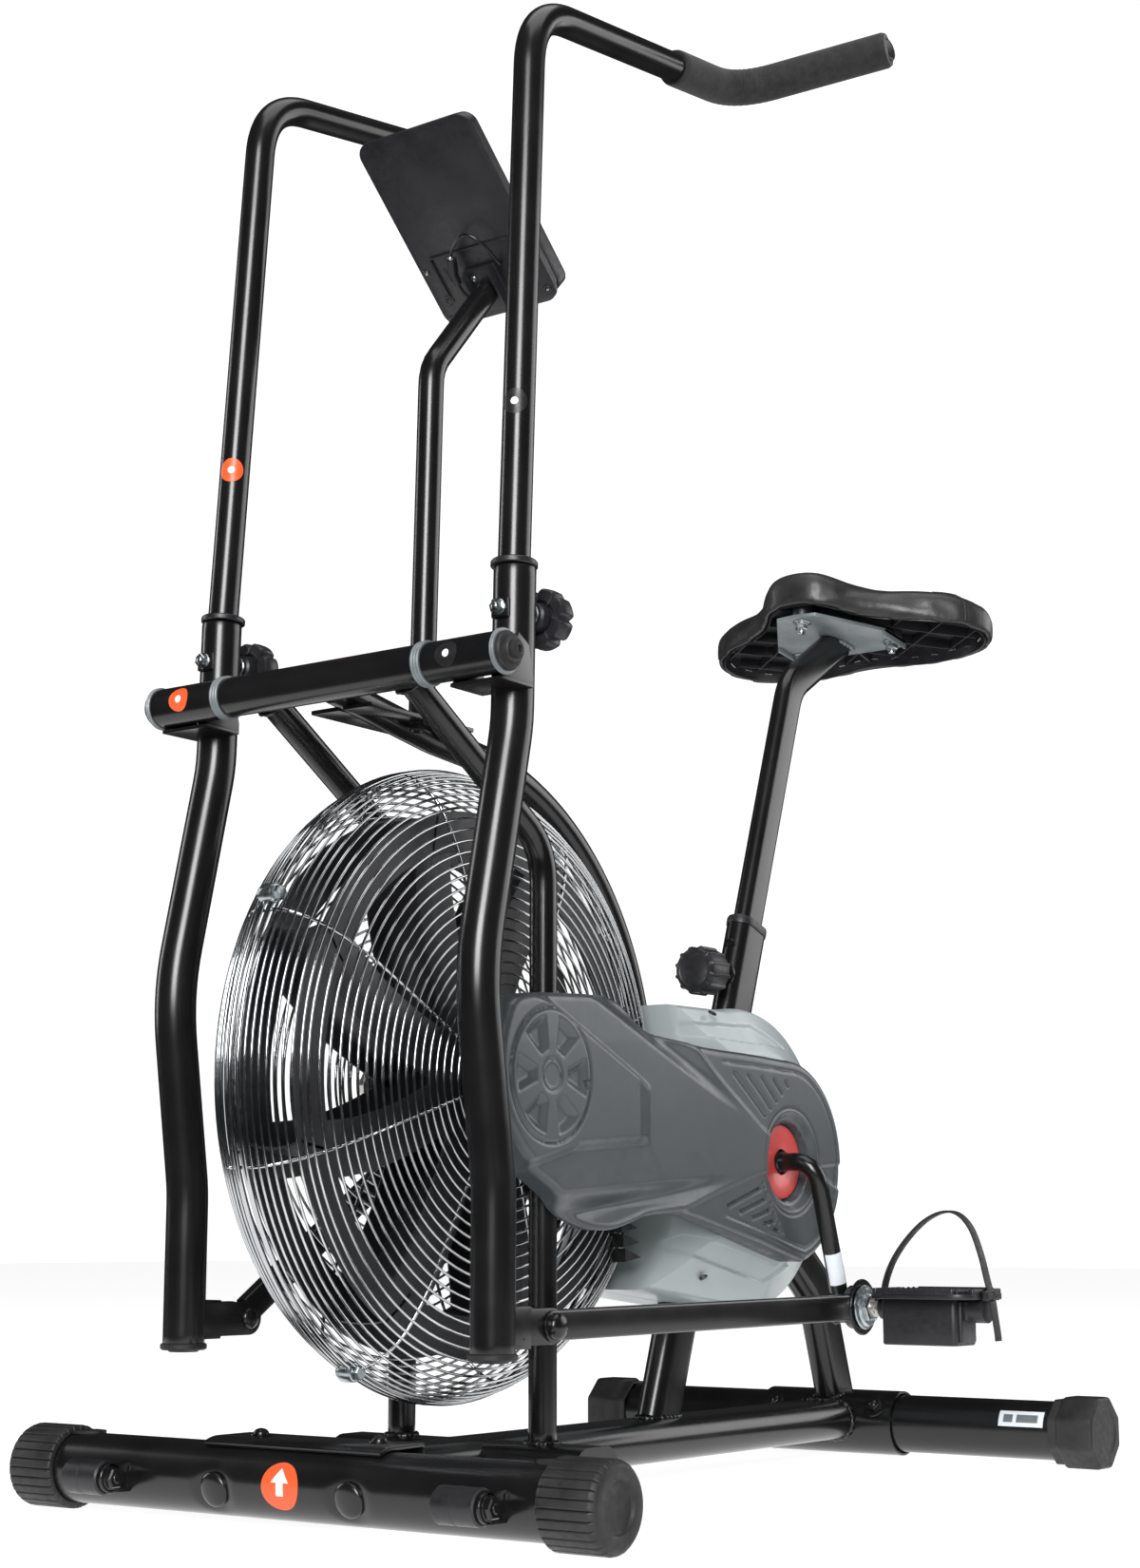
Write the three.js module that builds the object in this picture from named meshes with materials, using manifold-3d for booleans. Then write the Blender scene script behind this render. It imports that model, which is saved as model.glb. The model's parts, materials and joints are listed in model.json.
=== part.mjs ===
// Air bike: a fan exercise bicycle with two swinging arms, built as separate welded and bolted
// pieces. Millimetres, +Z up, +X towards the front foot, +Y towards the rider's left.
// Every piece is drawn in layout coordinates, with x = 0 at the axis of the front foot, and the
// whole bike is moved at the end so that its origin is the bottom centre of its bounding box.
import * as THREE from 'three';
import { mergeVertices } from 'three/addons/utils/BufferGeometryUtils.js';
import Module from 'manifold-3d';

const wasm = await Module();
wasm.setup();

// ---- driving dimensions -------------------------------------------------------------------
const ORIGIN_X = -445;             // layout x of the finished part's origin
const GAP = 0.3;                  // air between pieces that touch

const FOOT_Z = 34;                // height of both foot tubes' axes
const FOOT_R = 28.5;
const FRONT_HALF = 302;           // half length of the front foot over its caps
const FRONT_CAP_INNER = 250;
const REAR_X = -835;
const REAR_HALF = 300;
const REAR_CAP_INNER = 252;

const RAIL_HALF_WIDTH = 36;
const RAIL_LOW = 18;
const RAIL_TOP = 56;

const FORK_X = -212;
const FORK_Y = 76;
const FORK_R = 12;

const FAN = { x: -180, z: 354 };  // fan axis
const CAGE_R = 270;
const SPINE_R = 292;              // centreline radius of the spine tube about the fan axis
const SPINE_TUBE_R = 13;

const PIVOT = { x: -9, z: 676 };  // axis of both swinging arms
const PIVOT_R = 17;
const ARM_Y = 163;
const ARM_R = 17.5;
const LOWER_PIN = { x: -94, z: 155 };
const HANDLE_R = 13.5;
const GRIP_R = 17;

const CRANK = { x: -552, z: 293 };
const CRANK_THROW = { x: -45, z: -135 };   // from the crank axis to the left pedal pin
const CRANK_R = 8.5;
const CRANK_ARM_Y = 143;
const ROD_INNER = 153;            // the connecting rod alone occupies this slab
const ROD_OUTER = 167;

const SEAT_TUBE_BASE = { x: -497, z: 54 };
const SEAT_LEAN = 0.35;           // rearward travel per unit of height
const SOCKET_TOP_Z = 531;

const BODY = { x: -562, z: 297, r: 145, half: 88 };   // light body of the drive casing
const COVER_INNER = 88.6;
const COVER_OUTER = 112;

// ---- materials ----------------------------------------------------------------------------
const paint = new THREE.MeshStandardMaterial({ color: 0x17181a, roughness: 0.35, metalness: 0.4 });
const rubber = new THREE.MeshStandardMaterial({ color: 0x1d1d1f, roughness: 0.8 });
const foam = new THREE.MeshStandardMaterial({ color: 0x222224, roughness: 0.95 });
const steel = new THREE.MeshStandardMaterial({ color: 0xc8cacd, roughness: 0.2, metalness: 1 });
const zinc = new THREE.MeshStandardMaterial({ color: 0xa9b0b5, roughness: 0.35, metalness: 0.9 });
const lightPlastic = new THREE.MeshStandardMaterial({ color: 0xaab2b4, roughness: 0.4 });
const darkPlastic = new THREE.MeshStandardMaterial({ color: 0x50555a, roughness: 0.45 });
const blackPlastic = new THREE.MeshStandardMaterial({ color: 0x19191b, roughness: 0.5 });
const red = new THREE.MeshStandardMaterial({ color: 0xc8393c, roughness: 0.4 });
const leather = new THREE.MeshStandardMaterial({ color: 0x202022, roughness: 0.6 });

// ---- geometry helpers ---------------------------------------------------------------------
const group = new THREE.Group();
group.name = 'air_bike';

function solid(geometry) {
  const bare = geometry.clone();
  bare.deleteAttribute('normal');
  bare.deleteAttribute('uv');
  const merged = mergeVertices(bare, 1e-4);
  return new wasm.Manifold(new wasm.Mesh({
    numProp: 3,
    vertProperties: new Float32Array(merged.attributes.position.array),
    triVerts: new Uint32Array(merged.index.array),
  }));
}

function geometryOf(body) {
  const mesh = body.getMesh();
  const geometry = new THREE.BufferGeometry();
  const points = new Float32Array(mesh.vertProperties);
  geometry.setAttribute('position', new THREE.BufferAttribute(points, 3));
  geometry.setIndex(new THREE.BufferAttribute(new Uint32Array(mesh.triVerts), 1));
  return geometry;
}

function add(name, body, material) {
  const geometry = geometryOf(body.translate([-ORIGIN_X, 0, 0]));
  geometry.computeVertexNormals();
  const mesh = new THREE.Mesh(geometry, material);
  mesh.name = name;
  group.add(mesh);
}

function addPair(name, leftBody, material) {
  add(`${name}_left`, leftBody, material);
  add(`${name}_right`, leftBody.mirror([0, 1, 0]), material);
}

const union = (...bodies) => bodies.reduce((whole, body) => whole.add(body));

// Box from its lowest to its highest corner.
function box(x0, y0, z0, x1, y1, z1) {
  const geometry = new THREE.BoxGeometry(x1 - x0, y1 - y0, z1 - z0);
  geometry.translate((x0 + x1) / 2, (y0 + y1) / 2, (z0 + z1) / 2);
  return solid(geometry);
}

// Round bar along Y between two y values.
function barY(x, z, radius, y0, y1, sides = 16) {
  const geometry = new THREE.CylinderGeometry(radius, radius, y1 - y0, sides);
  geometry.translate(x, (y0 + y1) / 2, z);
  return solid(geometry);
}

// Round bar along X.
function barX(y, z, radius, x0, x1, sides = 16) {
  const geometry = new THREE.CylinderGeometry(radius, radius, x1 - x0, sides);
  geometry.rotateZ(Math.PI / 2);
  geometry.translate((x0 + x1) / 2, y, z);
  return solid(geometry);
}

// Prism with n flats, one of them flat on the floor, along Y about a foot tube's axis.
function capPrism(x, sides, apothem, y0, y1, bevel) {
  const radius = apothem / Math.cos(Math.PI / sides);
  const profile = [[0, y0], [radius, y0], [radius, y1 - bevel], [radius - bevel, y1], [0, y1]]
    .map(([r, y]) => new THREE.Vector2(r, y));
  const geometry = new THREE.LatheGeometry(profile, sides);
  geometry.rotateY(Math.PI / sides + (sides % 4 === 0 ? 0 : Math.PI / 2));
  geometry.translate(x, 0, FOOT_Z);
  return solid(geometry);
}

// A side-view outline of [x, z] points made solid between two y values.
function slab(outline, y0, y1, bevel = 0) {
  const shape = new THREE.Shape(outline.map(([x, z]) => new THREE.Vector2(x, z)));
  const geometry = new THREE.ExtrudeGeometry(shape, {
    depth: y1 - y0 - 2 * bevel,
    bevelEnabled: bevel > 0,
    bevelThickness: bevel,
    bevelSize: bevel,
    bevelOffset: -bevel,
    bevelSegments: 1,
    steps: 1,
  });
  geometry.rotateX(Math.PI / 2);
  geometry.translate(0, y1 - bevel, 0);
  return solid(geometry);
}

// Points of an arc in the side view, angles in degrees from +X towards +Z.
function arc(x, z, radius, from, to, steps) {
  const points = [];
  for (let i = 0; i <= steps; i += 1) {
    const angle = THREE.MathUtils.degToRad(from + ((to - from) * i) / steps);
    points.push([x + radius * Math.cos(angle), z + radius * Math.sin(angle)]);
  }
  return points;
}

// Polyline with its inner corners rounded: corners are [x, y, z, radius].
function rounded(corners, steps = 4) {
  const path = [new THREE.Vector3(...corners[0].slice(0, 3))];
  for (let i = 1; i < corners.length - 1; i += 1) {
    const corner = new THREE.Vector3(...corners[i].slice(0, 3));
    const before = new THREE.Vector3(...corners[i - 1].slice(0, 3)).sub(corner).normalize();
    const after = new THREE.Vector3(...corners[i + 1].slice(0, 3)).sub(corner).normalize();
    const half = before.angleTo(after) / 2;
    const reach = corners[i][3] / Math.tan(half);
    const start = corner.clone().addScaledVector(before, reach);
    const end = corner.clone().addScaledVector(after, reach);
    const curve = new THREE.QuadraticBezierCurve3(start, corner, end);
    path.push(...curve.getPoints(steps));
  }
  path.push(new THREE.Vector3(...corners[corners.length - 1].slice(0, 3)));
  return path;
}

const roundSection = (radius, sides = 10) => arc(0, 0, radius, 0, 360 - 360 / sides, sides - 1);

// Flat-oval tube section: long along the travel plane (v), narrow across (u).
function ovalSection(across, along, steps = 4) {
  const r = across / 2;
  const straight = along / 2 - r;
  return [...arc(0, straight, r, 0, 180, steps), ...arc(0, -straight, r, 180, 360, steps)];
}

// Sweep a closed section along a path. The section's first axis starts along `side`.
function sweep(path, section, side = new THREE.Vector3(0, 1, 0)) {
  const positions = [];
  const index = [];
  const count = section.length;
  const u = side.clone();
  path.forEach((point, i) => {
    const before = path[Math.max(i - 1, 0)];
    const after = path[Math.min(i + 1, path.length - 1)];
    const into = point.clone().sub(before).normalize();
    const out = after.clone().sub(point).normalize();
    const tangent = into.add(out).normalize();
    u.addScaledVector(tangent, -u.dot(tangent)).normalize();
    const v = new THREE.Vector3().crossVectors(tangent, u);
    section.forEach(([a, b]) => {
      const p = point.clone().addScaledVector(u, a).addScaledVector(v, b);
      positions.push(p.x, p.y, p.z);
    });
  });
  for (let ring = 0; ring < path.length - 1; ring += 1) {
    for (let k = 0; k < count; k += 1) {
      const a = ring * count + k;
      const b = ring * count + ((k + 1) % count);
      index.push(a, b, b + count, a, b + count, a + count);
    }
  }
  const last = (path.length - 1) * count;
  for (let k = 1; k < count - 1; k += 1) {
    index.push(0, k + 1, k);
    index.push(last, last + k, last + k + 1);
  }
  const geometry = new THREE.BufferGeometry();
  geometry.setAttribute('position', new THREE.Float32BufferAttribute(positions, 3));
  geometry.setIndex(index);
  return solid(geometry);
}

const at = (x, y, z) => new THREE.Vector3(x, y, z);
const seatTubeX = (z) => SEAT_TUBE_BASE.x - SEAT_LEAN * (z - SEAT_TUBE_BASE.z);

// ---- feet ---------------------------------------------------------------------------------
const frontFoot = barY(0, FOOT_Z, FOOT_R, GAP - FRONT_CAP_INNER, FRONT_CAP_INNER - GAP, 24);
add('front_foot', frontFoot, paint);
addPair('front_cap', capPrism(0, 24, FOOT_Z, FRONT_CAP_INNER, FRONT_HALF, 4), rubber);

const rearFoot = barY(REAR_X, FOOT_Z, FOOT_R, GAP - REAR_CAP_INNER, REAR_CAP_INNER - GAP, 24);
add('rear_foot', rearFoot, paint);
addPair('rear_cap', capPrism(REAR_X, 8, FOOT_Z, REAR_CAP_INNER, REAR_HALF, 3), rubber);

// Domed heads of the two carriage bolts that hold the front foot to its saddle plate.
const bolt = union(
  barX(70, 27, 11, FOOT_R - 1.2, FOOT_R + 2.5, 16),
  barX(70, 27, 7, FOOT_R + 2.4, FOOT_R + 4.6, 16),
).subtract(barY(0, FOOT_Z, FOOT_R + GAP, 40, 100, 48));
addPair('front_bolt', bolt, paint);

// Transport rollers: both brackets carry their roller on the rider's right side.
const ROLLER = { x: 47, z: 33, r: 14 };
const rollerStarts = { left: 176, right: -207 };
for (const [side, y0] of Object.entries(rollerStarts)) {
  const roller = barY(ROLLER.x, ROLLER.z, ROLLER.r, y0, y0 + 40, 20)
    .subtract(barY(ROLLER.x, ROLLER.z, 4.4, y0 - 1, y0 + 41, 12));
  add(`roller_${side}`, roller, blackPlastic);
  const bracket = union(
    box(FOOT_R - 6, y0 + 41, ROLLER.z - 12, ROLLER.x + 11, y0 + 45, ROLLER.z + 12),
    barY(ROLLER.x, ROLLER.z, 4, y0 - 5, y0 + 54, 12),
    barY(ROLLER.x, ROLLER.z, 8, y0 + 44.5, y0 + 51, 6),
    barY(ROLLER.x, ROLLER.z, 7, y0 - 6, y0 - 1, 6),
  ).subtract(barY(0, FOOT_Z, FOOT_R + GAP, y0 + 30, y0 + 60, 48));
  add(`roller_bracket_${side}`, bracket, paint);
}

// ---- base rail with its front saddle, rear sleeve and the cross member under the fork ---------
const rail = (() => {
  const section = ovalSection(RAIL_TOP - RAIL_LOW, 2 * RAIL_HALF_WIDTH, 5);
  const middle = (RAIL_TOP + RAIL_LOW) / 2;
  const beam = sweep([at(REAR_X + 20, 0, middle), at(-20, 0, middle)], section, at(0, 0, 1));
  const saddle = box(-38, -92, FOOT_Z + 14, 6, 92, FOOT_Z + FOOT_R + 4);
  const sleeve = barY(REAR_X, FOOT_Z, FOOT_R + 3.7, -78, 78, 24);
  const crossSection = ovalSection(34, 60, 4);
  const cross = sweep([at(FORK_X, -132, 37), at(FORK_X, 132, 37)], crossSection, at(0, 0, 1));
  return union(beam, saddle, sleeve, cross)
    .subtract(barY(0, FOOT_Z, FOOT_R + GAP, -120, 120, 48))
    .subtract(barY(REAR_X, FOOT_Z, FOOT_R + 0.8, -120, 120, 24));
})();
add('base_rail', rail, paint);

// ---- fork, pivot tube, spine and console post -------------------------------------------------
const fork = (() => {
  const path = rounded([[FORK_X, FORK_Y, 55], [FORK_X, FORK_Y, 556, 60], [-12, FORK_Y, 682]], 5);
  const dropout = union(
    barY(FAN.x, FAN.z, 17, FORK_Y - 3, FORK_Y + 3, 16),
    box(FORK_X, FORK_Y - 3, FAN.z - 15, FAN.x, FORK_Y + 3, FAN.z + 15),
  );
  return sweep(path, roundSection(FORK_R))
    .add(dropout)
    .subtract(barY(FAN.x, FAN.z, 8.4, FORK_Y - 10, FORK_Y + 10, 16))
    .subtract(barY(PIVOT.x, PIVOT.z, PIVOT_R + GAP, FORK_Y - 30, FORK_Y + 30, 32))
    .subtract(box(-300, 40, 0, -100, 110, 54.6));
})();
addPair('fork', fork, paint);

add('pivot_tube', barY(PIVOT.x, PIVOT.z, PIVOT_R, -109, 109, 20), paint);
addPair('pivot_ring', barY(PIVOT.x, PIVOT.z, PIVOT_R + 1.5, 109.3, 114.2, 20), zinc);

const spine = (() => {
  const path = arc(FAN.x, FAN.z, SPINE_R, 184, 96, 11).map(([x, z]) => at(x, 0, z));
  path.push(at(-150, 0, 650), at(-20, 0, 672));
  return sweep(path, roundSection(SPINE_TUBE_R))
    .subtract(barY(PIVOT.x, PIVOT.z, PIVOT_R + GAP, -30, 30, 32));
})();
add('spine_tube', spine, paint);

// Plate under the spine that ties the pivot tube, the spine and the console post together.
const gusset = box(-168, -33, 655, -30, 33, 659)
  .subtract(barY(PIVOT.x, PIVOT.z, PIVOT_R + 1, -50, 50, 32))
  .subtract(sweep([at(-190, 0, 648), at(-150, 0, 650), at(-20, 0, 672)],
    roundSection(SPINE_TUBE_R + GAP)));
const gussetHalves = gusset.subtract(box(-200, -60, 600, 0, 2, 700));
addPair('gusset_plate', gussetHalves, paint);

const POST_R = 11.5;
const postPath = rounded([[-136, 0, 640], [-145, 0, 988, 45], [-226, 0, 1086]], 5);
const post = sweep(postPath, roundSection(POST_R)).subtract(spine)
  .subtract(sweep([at(-190, 0, 648), at(-150, 0, 650), at(-20, 0, 672)],
    roundSection(SPINE_TUBE_R + GAP)))
  .subtract(box(-200, -30, 600, -60, 30, 659 + GAP));
add('console_post', post, paint);

// ---- console --------------------------------------------------------------------------------
// Built lying flat with its face up, then tilted to stand on the post.
const CONSOLE = { x: -180, z: 1136.5, tilt: 42.3, length: 192, width: 130 };
function onConsole(body) {
  return body.rotate([0, -CONSOLE.tilt, 0]).translate([CONSOLE.x, 0, CONSOLE.z]);
}
const halfLength = CONSOLE.length / 2;
const halfWidth = CONSOLE.width / 2;
function roundedPlate(hx, hy, radius, z0, z1) {
  const outline = [
    ...arc(hx - radius, hy - radius, radius, 0, 90, 3),
    ...arc(-hx + radius, hy - radius, radius, 90, 180, 3),
    ...arc(-hx + radius, -hy + radius, radius, 180, 270, 3),
    ...arc(hx - radius, -hy + radius, radius, 270, 360, 3),
  ];
  const shape = new THREE.Shape(outline.map(([x, y]) => new THREE.Vector2(x, y)));
  const geometry = new THREE.ExtrudeGeometry(shape, { depth: z1 - z0, bevelEnabled: false });
  geometry.translate(0, 0, z0);
  return solid(geometry);
}
add('console_back', onConsole(roundedPlate(halfLength, halfWidth, 14, 0, 6)), blackPlastic);
const housing = union(
  roundedPlate(halfLength - 3, halfWidth - 3, 13, 6 + GAP, 16),
  roundedPlate(46, 46, 8, 15.9, 24).translate([-10, 0, 0]),
);
add('console_housing', onConsole(housing), blackPlastic);
// Sensor lead: out of the back of the console, over in a loop and down beside the post's end.
const leadPath = new THREE.CatmullRomCurve3([
  at(-46, 26, -1.5), at(-44, 26, -7), at(-22, 24, -12), at(-8, 10, -12),
  at(-18, -10, -12), at(-34, -20, -12), at(-56, -22, -12), at(-74, -14.5, -13),
]).getPoints(28);
add('console_lead', onConsole(sweep(leadPath, roundSection(1.6, 8))), blackPlastic);

// ---- seat tube, bottom bracket and rear post ------------------------------------------------
const seatAxisPoint = (z) => at(seatTubeX(z), 0, z);
const seatTube = (() => {
  const outer = sweep([seatAxisPoint(30), seatAxisPoint(SOCKET_TOP_Z)], ovalSection(28, 50));
  const bore = sweep([seatAxisPoint(330), seatAxisPoint(560)], ovalSection(21.2, 39.2));
  const shell = barY(CRANK.x, CRANK.z, 25, -38, 38, 24);
  const bridge = box(-545, -11, 300, -484, 11, 322);
  return union(outer, shell, bridge)
    .subtract(bore)
    .subtract(barY(CRANK.x, CRANK.z, 9.2, -60, 60, 24))
    .subtract(box(-600, -60, 0, -400, 60, RAIL_TOP + GAP));
})();
add('seat_tube', seatTube, paint);

const bush = (() => {
  const lean = Math.hypot(SEAT_LEAN, 1);
  const low = seatAxisPoint(SOCKET_TOP_Z + 1.5);
  const high = seatAxisPoint(SOCKET_TOP_Z + 9 * lean);
  return sweep([low, high], ovalSection(30, 52))
    .subtract(sweep([seatAxisPoint(500), seatAxisPoint(560)], ovalSection(21.2, 39.2)))
    .subtract(sweep([seatAxisPoint(480), seatAxisPoint(SOCKET_TOP_Z + 0.6)],
      ovalSection(60, 90)));
})();
add('socket_bush', bush, blackPlastic);

const rearPostPath = rounded([[REAR_X + 6, 0, 40], [-792, 0, 168, 70], [-600, 0, 322]], 5);
const rearPost = sweep(rearPostPath, ovalSection(28, 50))
  .subtract(barY(REAR_X, FOOT_Z, FOOT_R + 3.7 + GAP, -60, 60, 48))
  .subtract(sweep([seatAxisPoint(20), seatAxisPoint(560)], ovalSection(30, 50.6)))
  .subtract(barY(CRANK.x, CRANK.z, 25.4, -60, 60, 32))
  .subtract(box(-820, -60, 0, -700, 60, RAIL_TOP + GAP));
add('rear_post', rearPost, paint);

// ---- wire cage ------------------------------------------------------------------------------
// Each half is a dish of rings on spokes. [ring radius, distance from the middle plane]
const cageRings = [[34, 59], [105, 59], [175, 57], [232, 47], [260, 26], [268, 5]];
function wireRing(radius, y) {
  const geometry = new THREE.TorusGeometry(radius, 2, 3, 26);
  geometry.rotateX(Math.PI / 2);
  geometry.translate(FAN.x, y, FAN.z);
  return solid(geometry);
}
function wireSpoke(angle) {
  const path = cageRings.map(([r, y]) => at(r, y, 0));
  return sweep(path, roundSection(2.2, 3), at(0, 0, 1))
    .rotate([0, -angle, 0])
    .translate([FAN.x, 0, FAN.z]);
}
const cageHalf = (() => {
  const rings = cageRings.map(([r, y]) => wireRing(r, y));
  const spokes = [0, 1, 2, 3, 4, 5].map((k) => wireSpoke(25 + 60 * k));
  return union(...rings, ...spokes);
})();
addPair('cage', cageHalf, steel);

// ---- fan --------------------------------------------------------------------------------------
const BLADES = 8;
const fanWheel = (() => {
  const hub = barY(FAN.x, FAN.z, 42, -30, 30, 24);
  const rim = barY(FAN.x, FAN.z, 232, -14, 14, 40).subtract(barY(FAN.x, FAN.z, 226, -15, 15, 40));
  const blades = [];
  for (let k = 0; k < BLADES; k += 1) {
    const blade = box(38, -30, -1.5, 228, 30, 1.5).add(box(150, -31, -1.4, 220, 31, 10));
    blades.push(blade.rotate([0, (360 / BLADES) * k, 0]).translate([FAN.x, 0, FAN.z]));
  }
  return union(hub, rim, ...blades).subtract(barY(FAN.x, FAN.z, 8.3, -40, 40, 16));
})();
add('fan_wheel', fanWheel, blackPlastic);
const fanAxle = union(
  barY(FAN.x, FAN.z, 8, -98, 104, 12),
  barY(FAN.x, FAN.z, 20, 98, 102, 16),
  barY(FAN.x, FAN.z, 13, -92, -84, 6),
);
add('fan_axle', fanAxle, steel);

// ---- crank, chain and chain wheel -----------------------------------------------------------
const pinLeft = { x: CRANK.x + CRANK_THROW.x, z: CRANK.z + CRANK_THROW.z };
const pinRight = { x: CRANK.x - CRANK_THROW.x, z: CRANK.z - CRANK_THROW.z };
const crankshaft = (() => {
  const path = rounded([
    [pinRight.x, -CRANK_ARM_Y, pinRight.z],
    [CRANK.x, -CRANK_ARM_Y, CRANK.z, 22],
    [CRANK.x, CRANK_ARM_Y, CRANK.z, 22],
    [pinLeft.x, CRANK_ARM_Y, pinLeft.z],
  ], 5);
  return union(
    sweep(path, roundSection(CRANK_R), at(0, 0, 1)),
    barY(pinLeft.x, pinLeft.z, 15, 135.5, ROD_INNER - GAP, 16),
    barY(pinRight.x, pinRight.z, 15, GAP - ROD_INNER, -135.5, 16),
  );
})();
add('crankshaft', crankshaft, paint);
const aroundShaft = barY(CRANK.x, CRANK.z, 8.9, -120, 120, 24);
add('chainring', barY(CRANK.x, CRANK.z, 80, 98, 102, 36).subtract(aroundShaft), zinc);
add('crank_disc_left', barY(CRANK.x, CRANK.z, 31.5, 104.5, 108, 28).subtract(aroundShaft), red);
add('crank_disc_right', barY(CRANK.x, CRANK.z, 31.5, -84, -80.5, 28).subtract(aroundShaft), red);

// Outline of a loop stretched round two wheels.
function loop(big, small) {
  const span = Math.hypot(small.x - big.x, small.z - big.z);
  const heading = THREE.MathUtils.radToDeg(Math.atan2(small.z - big.z, small.x - big.x));
  const lean = THREE.MathUtils.radToDeg(Math.acos((big.r - small.r) / span));
  return [
    ...arc(big.x, big.z, big.r, heading + lean, heading + 360 - lean, 18),
    ...arc(small.x, small.z, small.r, heading - lean, heading + lean, 8),
  ];
}
const chain = slab(loop({ ...CRANK, r: 87 }, { ...FAN, r: 27 }), 97.5, 102.5)
  .subtract(slab(loop({ ...CRANK, r: 81.2 }, { ...FAN, r: 21.2 }), 90, 110));
add('drive_chain', chain, steel);

// ---- drive casing ---------------------------------------------------------------------------
function bodyOutline(inset) {
  const front = 274 + inset;
  const top = 438 - inset;
  const low = 176 + inset;
  const topAngle = 180 - THREE.MathUtils.radToDeg(Math.asin((top - FAN.z) / front));
  const lowAngle = 180 + THREE.MathUtils.radToDeg(Math.asin((FAN.z - low) / front));
  return [
    ...arc(BODY.x, BODY.z, BODY.r - inset, 78, 262, 18),
    ...arc(FAN.x, FAN.z, front, lowAngle, topAngle, 10),
  ];
}
const bodyShell = (() => {
  const outer = slab(bodyOutline(0), -BODY.half, BODY.half, 20);
  const inner = slab(bodyOutline(4), -BODY.half + 4, BODY.half - 4, 18);
  return outer.subtract(inner)
    .subtract(sweep([seatAxisPoint(60), seatAxisPoint(560)], ovalSection(34, 56)))
    .subtract(sweep(rearPostPath, ovalSection(32, 54)))
    .subtract(sweep(arc(FAN.x, FAN.z, SPINE_R, 184, 96, 11).map(([x, z]) => at(x, 0, z)),
      roundSection(SPINE_TUBE_R + 2)))
    .subtract(barY(CRANK.x, CRANK.z, 12, 0, 100, 24))
    .subtract(barY(CRANK.x, CRANK.z, 35, -100, 0, 28));
})();
add('casing_left', bodyShell.subtract(box(-800, -120, 0, 0, GAP / 2, 600)), lightPlastic);
add('casing_right', bodyShell.subtract(box(-800, -GAP / 2, 0, 0, 120, 600)), lightPlastic);

const coverOutline = [
  [-96, 385], [-110, 416], [-150, 424], [-228, 428], [-278, 432], [-298, 427], [-326, 410],
  [-341, 402], [-395, 395], [-500, 391],
  ...arc(CRANK.x, CRANK.z, 96, 88, 258, 14),
  [-386, 245], [-325, 242], [-301, 235], [-270, 228], [-240, 230], [-204, 243], [-189, 258],
  [-132, 284], [-102, 318], [-93, 352],
];
const chainCover = (() => {
  const outer = slab(coverOutline, COVER_INNER, COVER_OUTER, 4)
    .add(slab(coverOutline, COVER_INNER, COVER_INNER + 12));
  const cavity = slab(loop({ ...CRANK, r: 91 }, { ...FAN, r: 34 }), COVER_INNER + 3, COVER_OUTER - 3);
  return outer.subtract(cavity)
    .subtract(barY(CRANK.x, CRANK.z, 35, 100, 120, 32))
    .subtract(barY(CRANK.x, CRANK.z, 12, 80, 100, 20))
    .subtract(barY(FAN.x, FAN.z, 10, 80, 100, 20));
})();
add('chain_cover', chainCover, darkPlastic);

// ---- swinging arms --------------------------------------------------------------------------
const ARM_TOP = 757;
const arm = (() => {
  const tube = sweep(rounded([
    [-55, ARM_Y, ARM_TOP],
    [-52, ARM_Y, 628, 150],
    [-7, ARM_Y, 425, 220],
    [-31, ARM_Y, 262, 160],
    [-31, ARM_Y, 132],
  ], 4), roundSection(ARM_R));
  const sleeveTube = barY(PIVOT.x, PIVOT.z, PIVOT_R, 114.5, 201, 20);
  const web = box(-62, 152, 655, -12, 174, 697);
  const bracket = union(
    box(-100, 147, 141, -31, ROD_INNER - GAP - 0.3, 169),
    box(-100, ROD_OUTER + GAP + 0.3, 141, -31, 179, 169),
    box(-62, 145, 139, -31, 181, 171),
    barY(LOWER_PIN.x, LOWER_PIN.z, 14, 147, ROD_INNER - GAP - 0.3, 16),
    barY(LOWER_PIN.x, LOWER_PIN.z, 14, ROD_OUTER + GAP + 0.3, 179, 16),
    barY(LOWER_PIN.x, LOWER_PIN.z, 6, 146, 184, 12),
    barY(LOWER_PIN.x, LOWER_PIN.z, 11, 178.5, 185, 16),
  );
  const rodSweep = barY(LOWER_PIN.x, LOWER_PIN.z, 30, ROD_INNER - 0.6, ROD_OUTER + 0.6, 24)
    .subtract(barY(LOWER_PIN.x, LOWER_PIN.z, 6, 140, 190, 12));
  return union(tube, sleeveTube, web, bracket).subtract(rodSweep)
    .subtract(barY(PIVOT.x, PIVOT.z, PIVOT_R + 2.5, 100, 114.4, 24));
})();
addPair('arm', arm, paint);

const handlePath = rounded([
  [-55, 162, ARM_TOP + 2],
  [-85, 155, 1262, 68],
  [-424, 148, 1318, 52],
  [-459, 299, 1333],
], 7);
// The foam grip covers the bend and the outward end of the tube.
const GRIP_START_X = -310;
const bendStart = handlePath.findIndex((p) => p.x < GRIP_START_X);
const before = handlePath[bendStart - 1];
const after = handlePath[bendStart];
const split = before.clone().lerp(after, (GRIP_START_X - before.x) / (after.x - before.x));
const tubePath = [...handlePath.slice(0, bendStart), split];
const gripStart = split.clone().add(after.clone().sub(split).setLength(GAP));
const gripPath = [gripStart, ...handlePath.slice(bendStart)];
addPair('handlebar', sweep(tubePath, roundSection(HANDLE_R)), paint);
addPair('grip', sweep(gripPath, roundSection(GRIP_R)), foam);

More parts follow.
